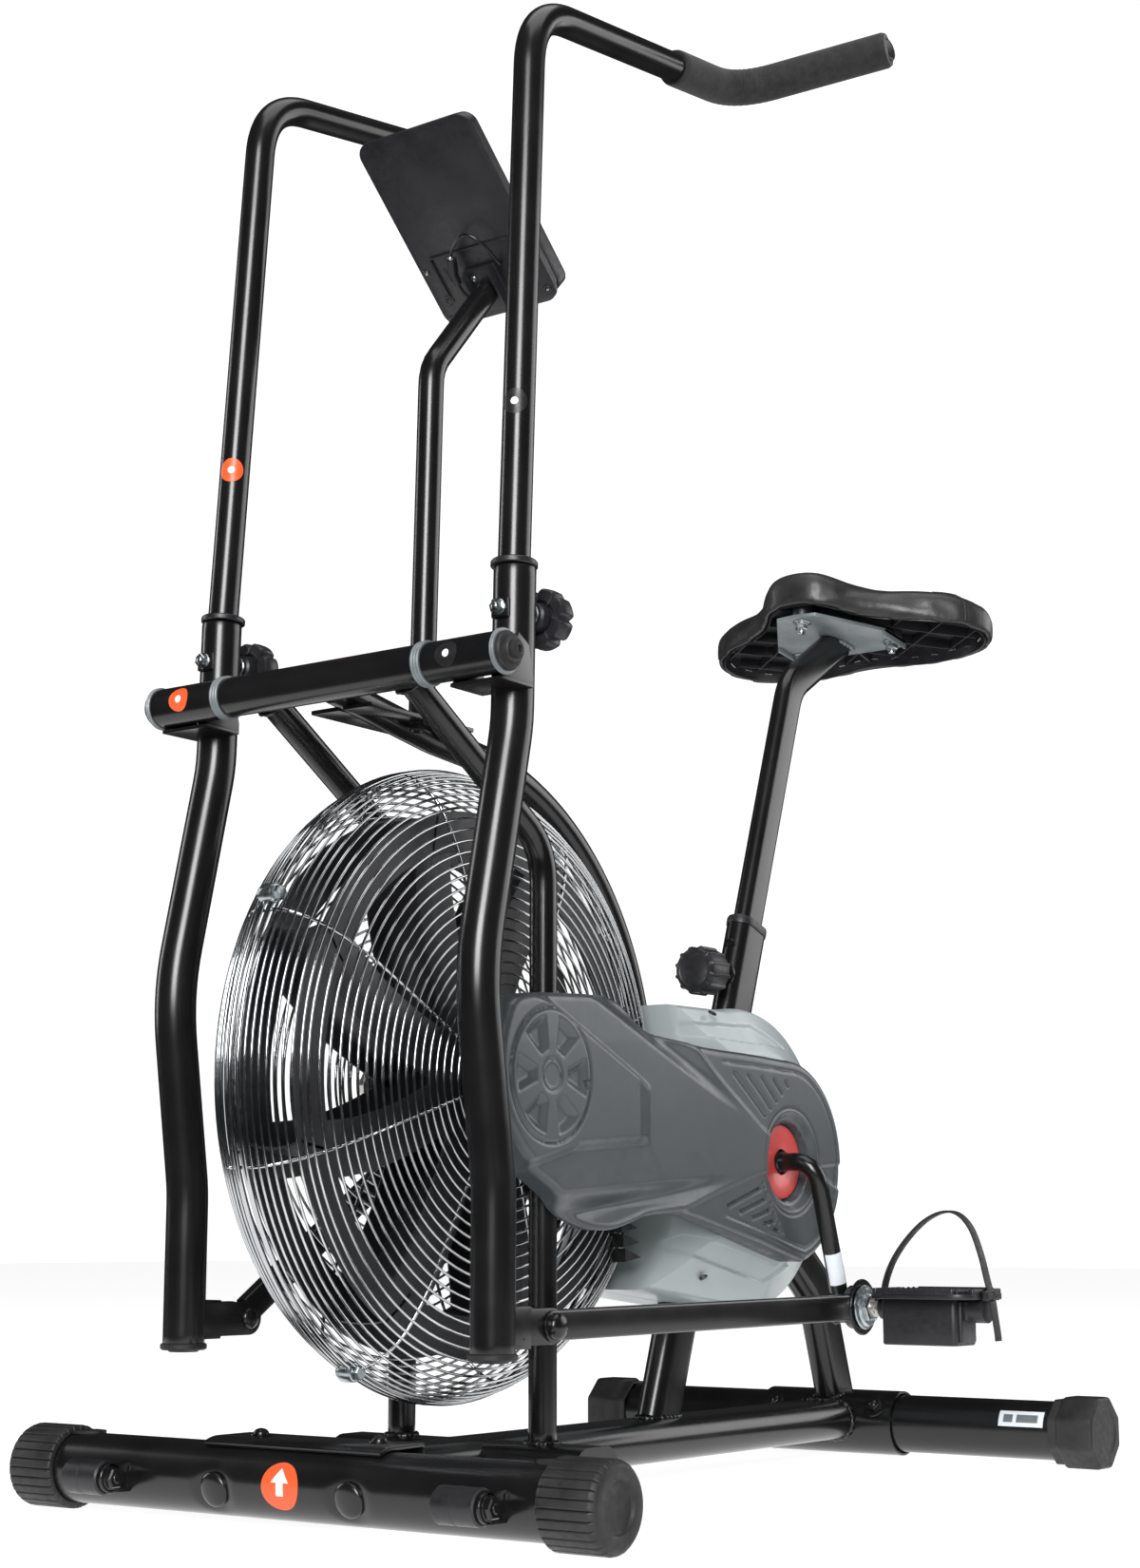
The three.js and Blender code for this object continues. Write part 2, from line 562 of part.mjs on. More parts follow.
const collar = sweep([at(-55, 162, ARM_TOP + 2), at(-56, 161.8, ARM_TOP + 16)], roundSection(19, 16))
  .subtract(sweep([at(-54.5, 162.1, ARM_TOP - 8), at(-56.5, 161.7, ARM_TOP + 25)],
    roundSection(HANDLE_R + 1, 16)));
addPair('collar', collar, blackPlastic);

// ---- connecting rods ------------------------------------------------------------------------
function rod(pin) {
  const from = at(LOWER_PIN.x, 160, LOWER_PIN.z);
  const to = at(pin.x, 160, pin.z);
  const bar = sweep([from, to], [[-6, -12], [6, -12], [6, 12], [-6, 12]]);
  return union(
    bar,
    barY(pin.x, pin.z, 20, ROD_INNER, ROD_OUTER, 20),
    barY(LOWER_PIN.x, LOWER_PIN.z, 13, ROD_INNER, ROD_OUTER, 16),
  ).subtract(barY(LOWER_PIN.x, LOWER_PIN.z, 6.3, 140, 180, 16));
}
add('rod_left', rod(pinLeft), paint);
add('rod_right', rod(pinRight).mirror([0, 1, 0]), paint);

// ---- pedals -----------------------------------------------------------------------------------
const pedalBody = (() => {
  const platform = box(-42, 190, 8, 42, 298, 19);
  const toe = union(
    barY(0, 0, 17, ROD_OUTER + GAP, ROD_OUTER + 5, 16),
    barY(0, 0, 8, ROD_OUTER + 4, 192, 12),
    barY(0, 0, 11, 184, 296, 12),
  );
  const block = box(-20, 196, -34, 22, 286, 9);
  const strapEars = union(box(-14, 185, 2, 14, 191, 19), box(-14, 297, 2, 14, 303, 19));
  return union(platform, toe, block, strapEars);
})();
const strap = (() => {
  const path = arc(244, 0, 1, 0, 180, 12).map(([c, s]) => {
    return at(0, 244 + (c - 244) * 55, 21 + s * 66);
  });
  return sweep(path, [[-11, -1.2], [11, -1.2], [11, 1.2], [-11, 1.2]], at(1, 0, 0));
})();
for (const [side, pin, flip] of [['left', pinLeft, 1], ['right', pinRight, -1]]) {
  const turn = (body) => (flip > 0 ? body : body.mirror([0, 1, 0]));
  add(`pedal_${side}`, turn(pedalBody).translate([pin.x, 0, pin.z]), blackPlastic);
  add(`pedal_strap_${side}`, turn(strap).translate([pin.x, 0, pin.z]), rubber);
}

// ---- star knobs -----------------------------------------------------------------------------
// Lobed knob along X: its rim swings between two radii once per lobe.
function knobLobes(x0, x1, y, z, radius, lobes, depth) {
  const outline = [];
  for (let k = 0; k < 4 * lobes; k += 1) {
    const angle = (Math.PI * k) / (2 * lobes);
    const reach = radius - depth * [0, 0.45, 1, 0.45][k % 4];
    outline.push([reach * Math.cos(angle), reach * Math.sin(angle)]);
  }
  return slab(outline, x0, x1).rotate([0, 0, -90]).translate([0, y, z]);
}
const armKnob = union(
  knobLobes(-110, -90, ARM_Y, 722, 25, 7, 5),
  barX(ARM_Y, 722, 11, -91, -78, 16),
  barX(ARM_Y, 722, 9, -79, -72.8, 16),
);
addPair('arm_knob', armKnob, blackPlastic);
const SEAT_KNOB_Z = 484;
const socketFront = seatTubeX(SEAT_KNOB_Z) + 27;
const seatKnob = union(
  knobLobes(socketFront + 22, socketFront + 56, 0, SEAT_KNOB_Z, 24, 10, 2.5),
  barX(0, SEAT_KNOB_Z, 10, socketFront + 4, socketFront + 23, 16),
);
add('seat_knob', seatKnob, blackPlastic);

// ---- seat -----------------------------------------------------------------------------------
const seatPost = (() => {
  const path = rounded([
    [seatTubeX(428), 0, 428],
    [seatTubeX(808), 0, 808, 60],
    [-868, 0, 874],
  ], 5);
  const plate = slab([[-905, 862.5], [-775, 877.5], [-775, 881.5], [-905, 866.5]], -72, 72);
  const taper = box(-840, 40, 800, -700, 90, 950);
  return union(sweep(path, ovalSection(20, 38)), plate)
    .subtract(taper)
    .subtract(taper.mirror([0, 1, 0]))
    .subtract(slab([[-1000, 852.1], [-700, 886.7], [-700, 990], [-1000, 990]], -50, 50));
})();
add('seat_post', seatPost, paint);

// Seat outline seen from above: two round rear lobes and a short nose.
const seatOutline = (() => {
  const half = [
    [-748, 0], [-752, 26], [-768, 44], [-792, 62], [-818, 92], [-842, 130], [-872, 158],
    [-908, 168], [-944, 156], [-970, 122], [-980, 76], [-976, 36], [-970, 0],
  ];
  const mirrored = half.slice(1, -1).reverse().map(([x, y]) => [x, -y]);
  return [...half, ...mirrored];
})();
// Loft the outline through heights: each level is [height, inset]. The seat tilts back a little
// and rises along its middle ridge towards the nose.
function seatLoft(levels) {
  const centre = { x: -868, y: 0 };
  const positions = [];
  const index = [];
  const count = seatOutline.length;
  const tilt = (x) => 0.112 * (x + 868);
  const ridge = (x, y, share) => share * 26 * Math.exp(-((y / 60) ** 2)) * ((x + 980) / 230);
  levels.forEach(([height, inset, share]) => {
    seatOutline.forEach(([x, y]) => {
      const span = Math.hypot(x - centre.x, y - centre.y);
      const k = (span - inset) / span;
      const px = centre.x + (x - centre.x) * k;
      const py = centre.y + (y - centre.y) * k;
      positions.push(px, py, height + tilt(px) + ridge(px, py, share));
    });
  });
  for (let ring = 0; ring < levels.length - 1; ring += 1) {
    for (let k = 0; k < count; k += 1) {
      const a = ring * count + k;
      const b = ring * count + ((k + 1) % count);
      index.push(a, b, b + count, a, b + count, a + count);
    }
  }
  const [lowHeight, , lowShare] = levels[0];
  const [topHeight, , topShare] = levels[levels.length - 1];
  const lowCentre = positions.length / 3;
  positions.push(centre.x, 0, lowHeight + ridge(centre.x, 0, lowShare));
  positions.push(centre.x, 0, topHeight + ridge(centre.x, 0, topShare));
  const last = (levels.length - 1) * count;
  for (let k = 0; k < count; k += 1) {
    const next = (k + 1) % count;
    index.push(lowCentre, next, k);
    index.push(lowCentre + 1, last + k, last + next);
  }
  const geometry = new THREE.BufferGeometry();
  geometry.setAttribute('position', new THREE.Float32BufferAttribute(positions, 3));
  geometry.setIndex(index);
  return solid(geometry);
}
add('seat_pan', seatLoft([[871.6, 16, 0], [882, 10, 0.3], [888, 8, 0.3]]), blackPlastic);
add('seat_cushion', seatLoft([[888.6, 8, 0.3], [896, 0, 0.5], [913, 3, 0.9], [925, 24, 1], [930, 60, 1]]),
  leather);

export default group;
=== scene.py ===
"""Air bike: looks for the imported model, built from meshes and procedural materials.

Shapes are drawn in layout millimetres: +X towards the front foot, +Y towards the rider's left,
+Z up, with x = 0 at the axis of the front foot, as the bike's own drawing has it. piece() turns
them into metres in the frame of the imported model.
"""

import json
import math

import bmesh
import bpy
import numpy as np
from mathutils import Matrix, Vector, noise
from mathutils.bvhtree import BVHTree


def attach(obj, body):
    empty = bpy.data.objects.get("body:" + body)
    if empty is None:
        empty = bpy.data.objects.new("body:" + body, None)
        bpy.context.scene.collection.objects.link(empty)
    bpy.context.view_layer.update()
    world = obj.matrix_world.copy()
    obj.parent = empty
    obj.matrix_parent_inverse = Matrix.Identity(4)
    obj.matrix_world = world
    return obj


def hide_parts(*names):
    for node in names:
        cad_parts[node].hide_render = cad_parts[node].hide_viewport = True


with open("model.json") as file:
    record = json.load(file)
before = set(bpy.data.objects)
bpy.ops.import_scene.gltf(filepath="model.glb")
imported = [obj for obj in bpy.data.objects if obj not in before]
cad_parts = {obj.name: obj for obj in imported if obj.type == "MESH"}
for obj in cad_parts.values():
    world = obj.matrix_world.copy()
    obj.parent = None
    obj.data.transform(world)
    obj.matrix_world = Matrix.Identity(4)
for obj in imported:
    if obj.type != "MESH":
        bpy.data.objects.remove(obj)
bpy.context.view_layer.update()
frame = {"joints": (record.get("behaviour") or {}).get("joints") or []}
JOINTS = {joint["name"]: joint for joint in frame["joints"]}

# ---- driving dimensions, layout millimetres ------------------------------------------------
FOOT_Z = 34.0
FOOT_R = 28.5
FAN_X = -180.0
ORIGIN_X = FAN_X - 1000 * JOINTS["fan_spin"]["pos_m"][0]


def layout(x, y, z):
    """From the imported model's metres to layout millimetres."""
    return Vector((1000 * x + ORIGIN_X, 1000 * y, 1000 * z))


def metres(p):
    """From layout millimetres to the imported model's metres."""
    return (p.x - ORIGIN_X) / 1000, p.y / 1000, p.z / 1000


def layout_point(joint):
    """A joint's place in layout millimetres."""
    return layout(*JOINTS[joint]["pos_m"])


def at_y(point, y):
    """The point level with another one, at a given y."""
    return Vector((point.x, y, point.z))


def around(centre, radius, angle, y):
    """Point at a radius and an angle round a centre in the side view, at a given y."""
    return Vector((centre.x + radius * math.cos(angle), y, centre.z + radius * math.sin(angle)))


FAN = layout_point("fan_spin")
CRANK = layout_point("crank_turn")
PIN = {"left": layout_point("pedal_left_spin"), "right": layout_point("pedal_right_spin")}
PIVOT = layout_point("arm_left_swing")
LOWER_PIN = layout_point("rod_left_pivot")
SIDES = {"left": 1, "right": -1}
AHEAD = (1, 0, 0)
ACROSS = (0, 1, 0)
UP = (0, 0, 1)
REAR_X = -835.0
FORK_X = -212.0
FORK_Y = 76.0
FORK_R = 12.0
PIVOT_R = 17.0
SPINE_R = 292.0
SPINE_TUBE_R = 13.0
ARM_Y = 163.0
ARM_R = 17.5
ARM_TOP = 757.0
HANDLE_R = 13.5
GRIP_R = 17.0
CRANK_R = 8.5
CRANK_Y = 143.0
ROD_Y = 160.0
ROD_INNER = 153.0
ROD_OUTER = 167.0
SLEEVE_Y = 114.5
SLEEVE_LENGTH = 73.0
ARM_KNOB_X = -73.0
ARM_KNOB_Z = 722.0
SEAT_KNOB_Z = 484.0
FAN_HUB_R = 40.0
FAN_TIP_R = 229.0
CAGE_RIM_R = 268.0
SEAT_BASE = Vector((-497.0, 0.0, 54.0))
SEAT_LEAN = 0.35
SOCKET_TOP_Z = 531.0
RAIL_MIDDLE = 37.0
RAIL_TOP = 56.0
BODY_X = -562.0
BODY_Z = 297.0
BODY_R = 145.0
BODY_HALF = 88.0
COVER_INNER = 88.6
COVER_OUTER = 115.0


def seat_axis(z):
    """Point on the leaning seat tube's axis at a height."""
    return Vector((SEAT_BASE.x - SEAT_LEAN * (z - SEAT_BASE.z), 0, z))


# ---- materials -------------------------------------------------------------------------------
def new_material(name, color, rough, metal=0.0, coat=0.0, specular=0.5, sheen=0.0):
    """A Principled material with its uniform values set on the shader's own sockets."""
    material = bpy.data.materials.new(name)
    material.use_nodes = True
    shader = material.node_tree.nodes["Principled BSDF"]
    shader.inputs["Base Color"].default_value = (*color, 1)
    shader.inputs["Roughness"].default_value = rough
    shader.inputs["Metallic"].default_value = metal
    shader.inputs["Coat Weight"].default_value = coat
    shader.inputs["Specular IOR Level"].default_value = specular
    shader.inputs["Sheen Weight"].default_value = sheen
    material.diffuse_color = (*color, 1)
    return material


def texture(material, kind, scale, detail=3.0, stretch=(1, 1, 1)):
    """A noise or Voronoi texture in object space; returns its value output."""
    tree = material.node_tree
    place = tree.nodes.new("ShaderNodeTexCoord")
    mapping = tree.nodes.new("ShaderNodeMapping")
    mapping.inputs["Scale"].default_value = stretch
    tree.links.new(place.outputs["Object"], mapping.inputs["Vector"])
    node = tree.nodes.new("ShaderNodeTexNoise" if kind == "noise" else "ShaderNodeTexVoronoi")
    node.inputs["Scale"].default_value = scale
    if kind == "noise":
        node.inputs["Detail"].default_value = detail
    tree.links.new(mapping.outputs["Vector"], node.inputs["Vector"])
    return node.outputs["Fac"] if kind == "noise" else node.outputs["Distance"]


def vary_color(material, source, dark, light, low=0.35, high=0.65):
    """Drive the base colour from a texture between two colours."""
    tree = material.node_tree
    ramp = tree.nodes.new("ShaderNodeValToRGB")
    ramp.color_ramp.elements[0].position = low
    ramp.color_ramp.elements[0].color = (*dark, 1)
    ramp.color_ramp.elements[1].position = high
    ramp.color_ramp.elements[1].color = (*light, 1)
    tree.links.new(source, ramp.inputs["Fac"])
    tree.links.new(ramp.outputs["Color"], tree.nodes["Principled BSDF"].inputs["Base Color"])


def vary_roughness(material, source, low, high):
    """Drive the roughness from a texture between two values."""
    tree = material.node_tree
    spread = tree.nodes.new("ShaderNodeMapRange")
    spread.inputs["From Min"].default_value = 0.3
    spread.inputs["From Max"].default_value = 0.7
    spread.inputs["To Min"].default_value = low
    spread.inputs["To Max"].default_value = high
    tree.links.new(source, spread.inputs["Value"])
    tree.links.new(spread.outputs["Result"], tree.nodes["Principled BSDF"].inputs["Roughness"])


def add_bump(material, source, strength, distance):
    """Bump from a texture; distance is in metres."""
    tree = material.node_tree
    bump = tree.nodes.new("ShaderNodeBump")
    bump.inputs["Strength"].default_value = strength
    bump.inputs["Distance"].default_value = distance
    tree.links.new(source, bump.inputs["Height"])
    tree.links.new(bump.outputs["Normal"], tree.nodes["Principled BSDF"].inputs["Normal"])


# Each finish: the material's name, colour, roughness and other shader values. Then come a texture
# that varies the colour with its dark and light ends, one that varies the roughness with its low
# and high ends, and for most finishes one for the bump with its strength and distance in metres.
FINISHES = {
    "paint": (
        "black_paint", (0.0055, 0.0055, 0.006), 0.23, {},
        (("noise", 18), (0.0045, 0.0045, 0.005), (0.0070, 0.0070, 0.0075)),
        (("noise", 35), 0.215, 0.255), (("noise", 1400, 2), 0.05, 0.0001)),
    "zinc": (
        "zinc", (0.62, 0.66, 0.68), 0.24, {"metal": 1.0},
        (("noise", 90), (0.38, 0.42, 0.44), (0.56, 0.59, 0.60)),
        (("noise", 300), 0.22, 0.38), (("noise", 1200, 2, (1, 6, 1)), 0.15, 0.0001)),
    "chrome": (
        "chrome", (0.66, 0.67, 0.68), 0.10, {"metal": 1.0},
        (("noise", 14), (0.46, 0.475, 0.49), (0.60, 0.61, 0.62)),
        (("noise", 70, 4), 0.07, 0.18)),
    "steel": (
        "machined_steel", (0.50, 0.47, 0.44), 0.32, {"metal": 1.0},
        None, (("noise", 500, 3, (1, 8, 1)), 0.24, 0.42)),
    "rubber": (
        "rubber", (0.018, 0.018, 0.019), 0.55, {"specular": 0.45},
        (("noise", 45, 4), (0.008, 0.008, 0.009), (0.017, 0.017, 0.018)),
        (("noise", 160, 4), 0.46, 0.66), (("noise", 1500, 2), 0.25, 0.00025)),
    "foam": (
        "foam", (0.017, 0.017, 0.018), 0.72, {"specular": 0.35, "sheen": 0.12},
        (("noise", 120, 5), (0.008, 0.008, 0.009), (0.016, 0.016, 0.017)),
        (("noise", 400), 0.62, 0.82), (("voronoi", 1600), 0.22, 0.0003)),
    "plastic": (
        "black_plastic", (0.015, 0.015, 0.016), 0.40, {},
        (("noise", 30, 4), (0.008, 0.008, 0.010), (0.014, 0.014, 0.017)),
        (("noise", 200), 0.34, 0.50), (("voronoi", 1900), 0.16, 0.00018)),
    "light": (
        "light_grey_plastic", (0.36, 0.40, 0.405), 0.34, {"coat": 0.12},
        (("noise", 7), (0.335, 0.378, 0.384), (0.385, 0.425, 0.43)),
        (("noise", 90, 4), 0.29, 0.40), (("voronoi", 2300), 0.06, 0.00012)),
    "dark": (
        "dark_grey_plastic", (0.050, 0.058, 0.063), 0.33, {"coat": 0.10},
        (("noise", 8), (0.046, 0.054, 0.059), (0.055, 0.063, 0.068)),
        (("noise", 100, 4), 0.30, 0.42), (("voronoi", 2300), 0.07, 0.00012)),
    "red": (
        "red_plastic", (0.56, 0.055, 0.05), 0.36, {"coat": 0.15},
        (("noise", 20), (0.50, 0.045, 0.042), (0.60, 0.065, 0.058)),
        (("noise", 150), 0.30, 0.44)),
    "leather": (
        "leather", (0.016, 0.016, 0.017), 0.42, {"coat": 0.08},
        (("noise", 22, 5), (0.011, 0.011, 0.012), (0.022, 0.022, 0.023)),
        (("noise", 60, 4), 0.34, 0.52), (("voronoi", 620), 0.28, 0.0003)),
    "plate": (
        "grey_plate", (0.20, 0.22, 0.23), 0.45, {"metal": 0.4},
        (("noise", 25, 4), (0.17, 0.19, 0.20), (0.24, 0.26, 0.27)),
        (("noise", 220), 0.36, 0.54)),
}


def make_materials():
    """Every finish on the bike."""
    made = {}
    for finish, (name, color, rough, options, tint, gloss, *bumps) in FINISHES.items():
        material = new_material(name, color, rough, **options)
        if tint:
            vary_color(material, texture(material, *tint[0]), *tint[1:])
        vary_roughness(material, texture(material, *gloss[0]), *gloss[1:])
        for grain, strength, distance in bumps:
            add_bump(material, texture(material, *grain), strength, distance)
        made[finish] = material
    for name, color in (
        ("orange_label", (0.80, 0.095, 0.022)),
        ("white_label", (0.72, 0.76, 0.80)),
        ("black_label", (0.012, 0.012, 0.013)),
        ("pale_mark", (0.85, 0.85, 0.84)),
    ):
        label = new_material(name, color, 0.38)
        shade = tuple(0.92 * channel for channel in color)
        vary_color(label, texture(label, "noise", 80), shade, color)
        vary_roughness(label, texture(label, "noise", 200), 0.30, 0.46)
        made[name] = label
    return made


MATERIALS = make_materials()


# ---- shell builders: each returns (points, faces) in layout millimetres ------------------------
def lerp(a, b, t):
    return a + (b - a) * t


def smooth_step(t):
    t = min(max(t, 0.0), 1.0)
    return t * t * (3 - 2 * t)


def rounded(corners, steps=10):
    """Polyline whose inner corners, [x, y, z, radius], become smooth bends."""
    path = [Vector(corners[0][:3])]
    for before, corner, after in zip(corners, corners[1:], corners[2:]):
        middle = Vector(corner[:3])
        back = (Vector(before[:3]) - middle).normalized()
        ahead = (Vector(after[:3]) - middle).normalized()
        reach = corner[3] / math.tan(back.angle(ahead) / 2)
        start = middle + back * reach
        end = middle + ahead * reach
        for i in range(steps + 1):
            t = i / steps
            path.append(start * (1 - t) ** 2 + middle * 2 * t * (1 - t) + end * t * t)
    path.append(Vector(corners[-1][:3]))
    return path


def spline_point(p0, p1, p2, p3, t):
    """Point between p1 and p2 on the smooth curve through four points."""
    return 0.5 * ((2 * p1) + (p2 - p0) * t + (2 * p0 - 5 * p1 + 4 * p2 - p3) * t * t
                  + (3 * p1 - p0 - 3 * p2 + p3) * t ** 3)


def catmull(points, steps=12):
    """Smooth curve through points."""
    path = []
    knots = [points[0] * 2 - points[1]] + points + [points[-1] * 2 - points[-2]]
    for p0, p1, p2, p3 in zip(knots, knots[1:], knots[2:], knots[3:]):
        path += [spline_point(p0, p1, p2, p3, i / steps) for i in range(steps)]
    path.append(points[-1].copy())
    return path


def resample(path, spacing):
    """The same polyline with points at an even spacing."""
    lengths = [0.0]
    for a, b in zip(path, path[1:]):
        lengths.append(lengths[-1] + (b - a).length)
    count = max(2, round(lengths[-1] / spacing))
    result = []
    k = 0
    for i in range(count + 1):
        want = lengths[-1] * i / count
        while k < len(path) - 2 and lengths[k + 1] < want:
            k += 1
        span = max(lengths[k + 1] - lengths[k], 1e-9)
        result.append(path[k].lerp(path[k + 1], (want - lengths[k]) / span))
    return result


def arc(cx, cz, radius, start, end, steps):
    """Side-view arc points (x, z), angles in degrees from +X towards +Z."""
    points = []
    for i in range(steps + 1):
        angle = math.radians(start + (end - start) * i / steps)
        points.append((cx + radius * math.cos(angle), cz + radius * math.sin(angle)))
    return points


def round_section(radius, sides=28):
    return arc(0, 0, radius, 0, 360 - 360 / sides, sides - 1)


def oval_section(across, along, steps=12):
    """Flat-oval tube section with round ends."""
    r = across / 2
    straight = along / 2 - r
    return arc(0, straight, r, 0, 180, steps) + arc(0, -straight, r, 180, 360, steps)


def box_section(across, along, radius, steps=5):
    """Rectangular section with rounded corners."""
    points = []
    for sx, sy, start in ((1, 1, 0), (-1, 1, 90), (-1, -1, 180), (1, -1, 270)):
        cx = sx * (across / 2 - radius)
        cy = sy * (along / 2 - radius)
        points += arc(cx, cy, radius, start, start + 90, steps)
    return points


def sweep(path, section, side=ACROSS, closed=False, scales=None):
    """Sweep a closed section along a path; scales sizes the section at each point."""
    points = []
    faces = []
    count = len(section)
    u = Vector(side)
    n = len(path)
    for i, centre in enumerate(path):
        before = path[(i - 1) % n] if closed else path[max(i - 1, 0)]
        after = path[(i + 1) % n] if closed else path[min(i + 1, n - 1)]
        into = (centre - before).normalized()
        out = (after - centre).normalized()
        tangent = (into + out).normalized()
        u = (u - tangent * u.dot(tangent)).normalized()
        v = tangent.cross(u)
        size = scales[i] if scales else 1.0
        points += [centre + u * (a * size) + v * (b * size) for a, b in section]
    for ring in range(n if closed else n - 1):
        base = ring * count
        above = ((ring + 1) % n) * count
        for k in range(count):
            j = (k + 1) % count
            faces.append((base + k, base + j, above + j, above + k))
    if not closed:
        faces.append(tuple(reversed(range(count))))
        faces.append(tuple(range((n - 1) * count, n * count)))
    return points, faces


def tube(path, radius, sides=28, soft_end=1.2):
    """Round bar along a path, its ends slightly rounded over."""
    path = list(path)
    first = (path[1] - path[0]).normalized()
    last = (path[-1] - path[-2]).normalized()
    ends = [(0.0, 1 - soft_end / radius), (0.3, 1 - 0.3 * soft_end / radius), (1.0, 1.0)]
    start = [path[0] + first * (soft_end * t) for t, _ in ends]
    finish = [path[-1] - last * (soft_end * t) for t, _ in reversed(ends)]
    scales = [s for _, s in ends] + [1.0] * (len(path) - 2) + [s for _, s in reversed(ends)]
    side = ACROSS if abs(first.y) < 0.9 else UP
    return sweep(start + path[1:-1] + finish, round_section(radius, sides), side, scales=scales)


def lathe(centre, axis, profile, sides=40, ripple=None):
    """Revolve (radius, height) pairs about an axis; ripple(angle, radius, height) gives a radius."""
    w = Vector(axis).normalized()
    u = w.orthogonal().normalized()
    if abs(w.y) > 0.9:
        u = Vector(AHEAD)
    v = w.cross(u)
    points = []
    faces = []
    rows = []
    for radius, height in profile:
        if radius < 1e-6:
            rows.append([len(points)])
            points.append(Vector(centre) + w * height)
            continue
        row = []
        for k in range(sides):
            angle = 2 * math.pi * k / sides
            r = ripple(angle, radius, height) if ripple else radius
            row.append(len(points))
            points.append(
                Vector(centre) + w * height + (u * math.cos(angle) + v * math.sin(angle)) * r
            )
        rows.append(row)
    for low, high in zip(rows, rows[1:]):
        for k in range(sides):
            j = (k + 1) % sides
            if len(low) == 1 and len(high) > 1:
                faces.append((low[0], high[k], high[j]))
            elif len(high) == 1 and len(low) > 1:
                faces.append((low[k], high[0], low[j]))
            elif len(low) > 1:
                faces.append((low[k], high[k], high[j], low[j]))
    if len(rows[0]) > 1 and len(rows[-1]) > 1:
        for k in range(sides):
            j = (k + 1) % sides
            faces.append((rows[-1][k], rows[0][k], rows[0][j], rows[-1][j]))
    return points, faces


def disc(centre, axis, radius, thickness, soft=0.8, sides=40):
    """Round plate from its centre point along the axis, with softened rims."""
    profile = [
        (0, 0), (radius - soft, 0), (radius - 0.3 * soft, 0.3 * soft), (radius, soft),
        (radius, thickness - soft), (radius - 0.3 * soft, thickness - 0.3 * soft),
        (radius - soft, thickness), (0, thickness),
    ]
    return lathe(centre, axis, profile, sides)


def ring(centre, axis, inner, outer, thickness, soft=0.5, sides=40):
    """Flat washer or short tube."""
    profile = [
        (inner + soft, 0), (outer - soft, 0), (outer, soft), (outer, thickness - soft),
        (outer - soft, thickness), (inner + soft, thickness), (inner, thickness - soft),
        (inner, soft),
    ]
    return lathe(centre, axis, profile, sides)


def hex_head(centre, axis, across, height):
    """Hexagonal nut or bolt head with a chamfered top."""
    r = across / 2 / math.cos(math.pi / 6)
    profile = [(0, 0), (r, 0), (r, height * 0.8), (r * 0.86, height), (0, height)]
    return lathe(centre, axis, profile, 6)


def dome(centre, axis, radius, height, base=0.0, sides=32):
    """Round bolt head."""
    profile = [(0, 0), (radius, 0)]
    if base:
        profile.append((radius, base))
    for i in range(1, 9):
        angle = math.pi / 2 * i / 8
        profile.append((radius * math.cos(angle) if i < 8 else 0, base + height * math.sin(angle)))
    return lathe(centre, axis, profile, sides)


def block(low, high):
    """Box between two corners."""
    (x0, y0, z0), (x1, y1, z1) = low, high
    points = [Vector((x, y, z)) for z in (z0, z1) for y in (y0, y1) for x in (x0, x1)]
    faces = [
        (0, 2, 3, 1), (4, 5, 7, 6), (0, 1, 5, 4), (2, 6, 7, 3), (0, 4, 6, 2), (1, 3, 7, 5),
    ]
    return points, faces


def prism(outline, y0, y1):
    """Side-view outline of (x, z) points between two y values."""
    n = len(outline)
    points = [Vector((x, y0, z)) for x, z in outline] + [Vector((x, y1, z)) for x, z in outline]
    faces = [tuple(range(n)), tuple(reversed(range(n, 2 * n)))]
    faces += [(k, k + n, (k + 1) % n + n, (k + 1) % n) for k in range(n)]
    return points, faces


def weld(path, radius, seed):
    """Weld bead: a lumpy ring of metal along a closed path."""
    dense = resample(list(path) + [path[0]], 1.6)[:-1]
    scales = []
    for i, point in enumerate(dense):
        lump = 0.25 * math.sin(i * 1.45 + seed) + 0.35 * noise.noise(point * 0.21)
        scales.append(1 + lump)
    return sweep(dense, round_section(radius, 8), side=(0.3, 0.2, 1), closed=True, scales=scales)


def circle(centre, axis, radius, steps=48):
    """Closed circle of points."""
    w = Vector(axis).normalized()
    u = w.orthogonal().normalized()
    v = w.cross(u)
    return [
        Vector(centre)
        + (u * math.cos(2 * math.pi * k / steps) + v * math.sin(2 * math.pi * k / steps)) * radius
        for k in range(steps)
    ]


def flat_plate(hx, hy, radius, z0, z1, centre=(0, 0), soft=1.0):
    """Level plate with rounded corners and softened rims, sized by its half lengths."""
    def outline(inset, z):
        points = []
        r = max(radius - inset, 0.3)
        for sx, sy, start in ((1, 1, 0), (-1, 1, 90), (-1, -1, 180), (1, -1, 270)):
            cx = centre[0] + sx * (hx - radius)
            cy = centre[1] + sy * (hy - radius)
            points += [Vector((x, y, z)) for x, y in arc(cx, cy, r, start, start + 90, 8)]
        return points

    levels = [(soft, z0), (0.3 * soft, z0 + 0.3 * soft), (0, z0 + soft), (0, z1 - soft),
              (0.3 * soft, z1 - 0.3 * soft), (soft, z1)]
    return loft([outline(inset, z) for inset, z in levels])


def plan_plate(x0, x1, y0, y1, radius, z0, z1, soft=0.8):
    """The same plate between two x and two y values."""
    centre = ((x0 + x1) / 2, (y0 + y1) / 2)
    return flat_plate((x1 - x0) / 2, (y1 - y0) / 2, radius, z0, z1, centre, soft)


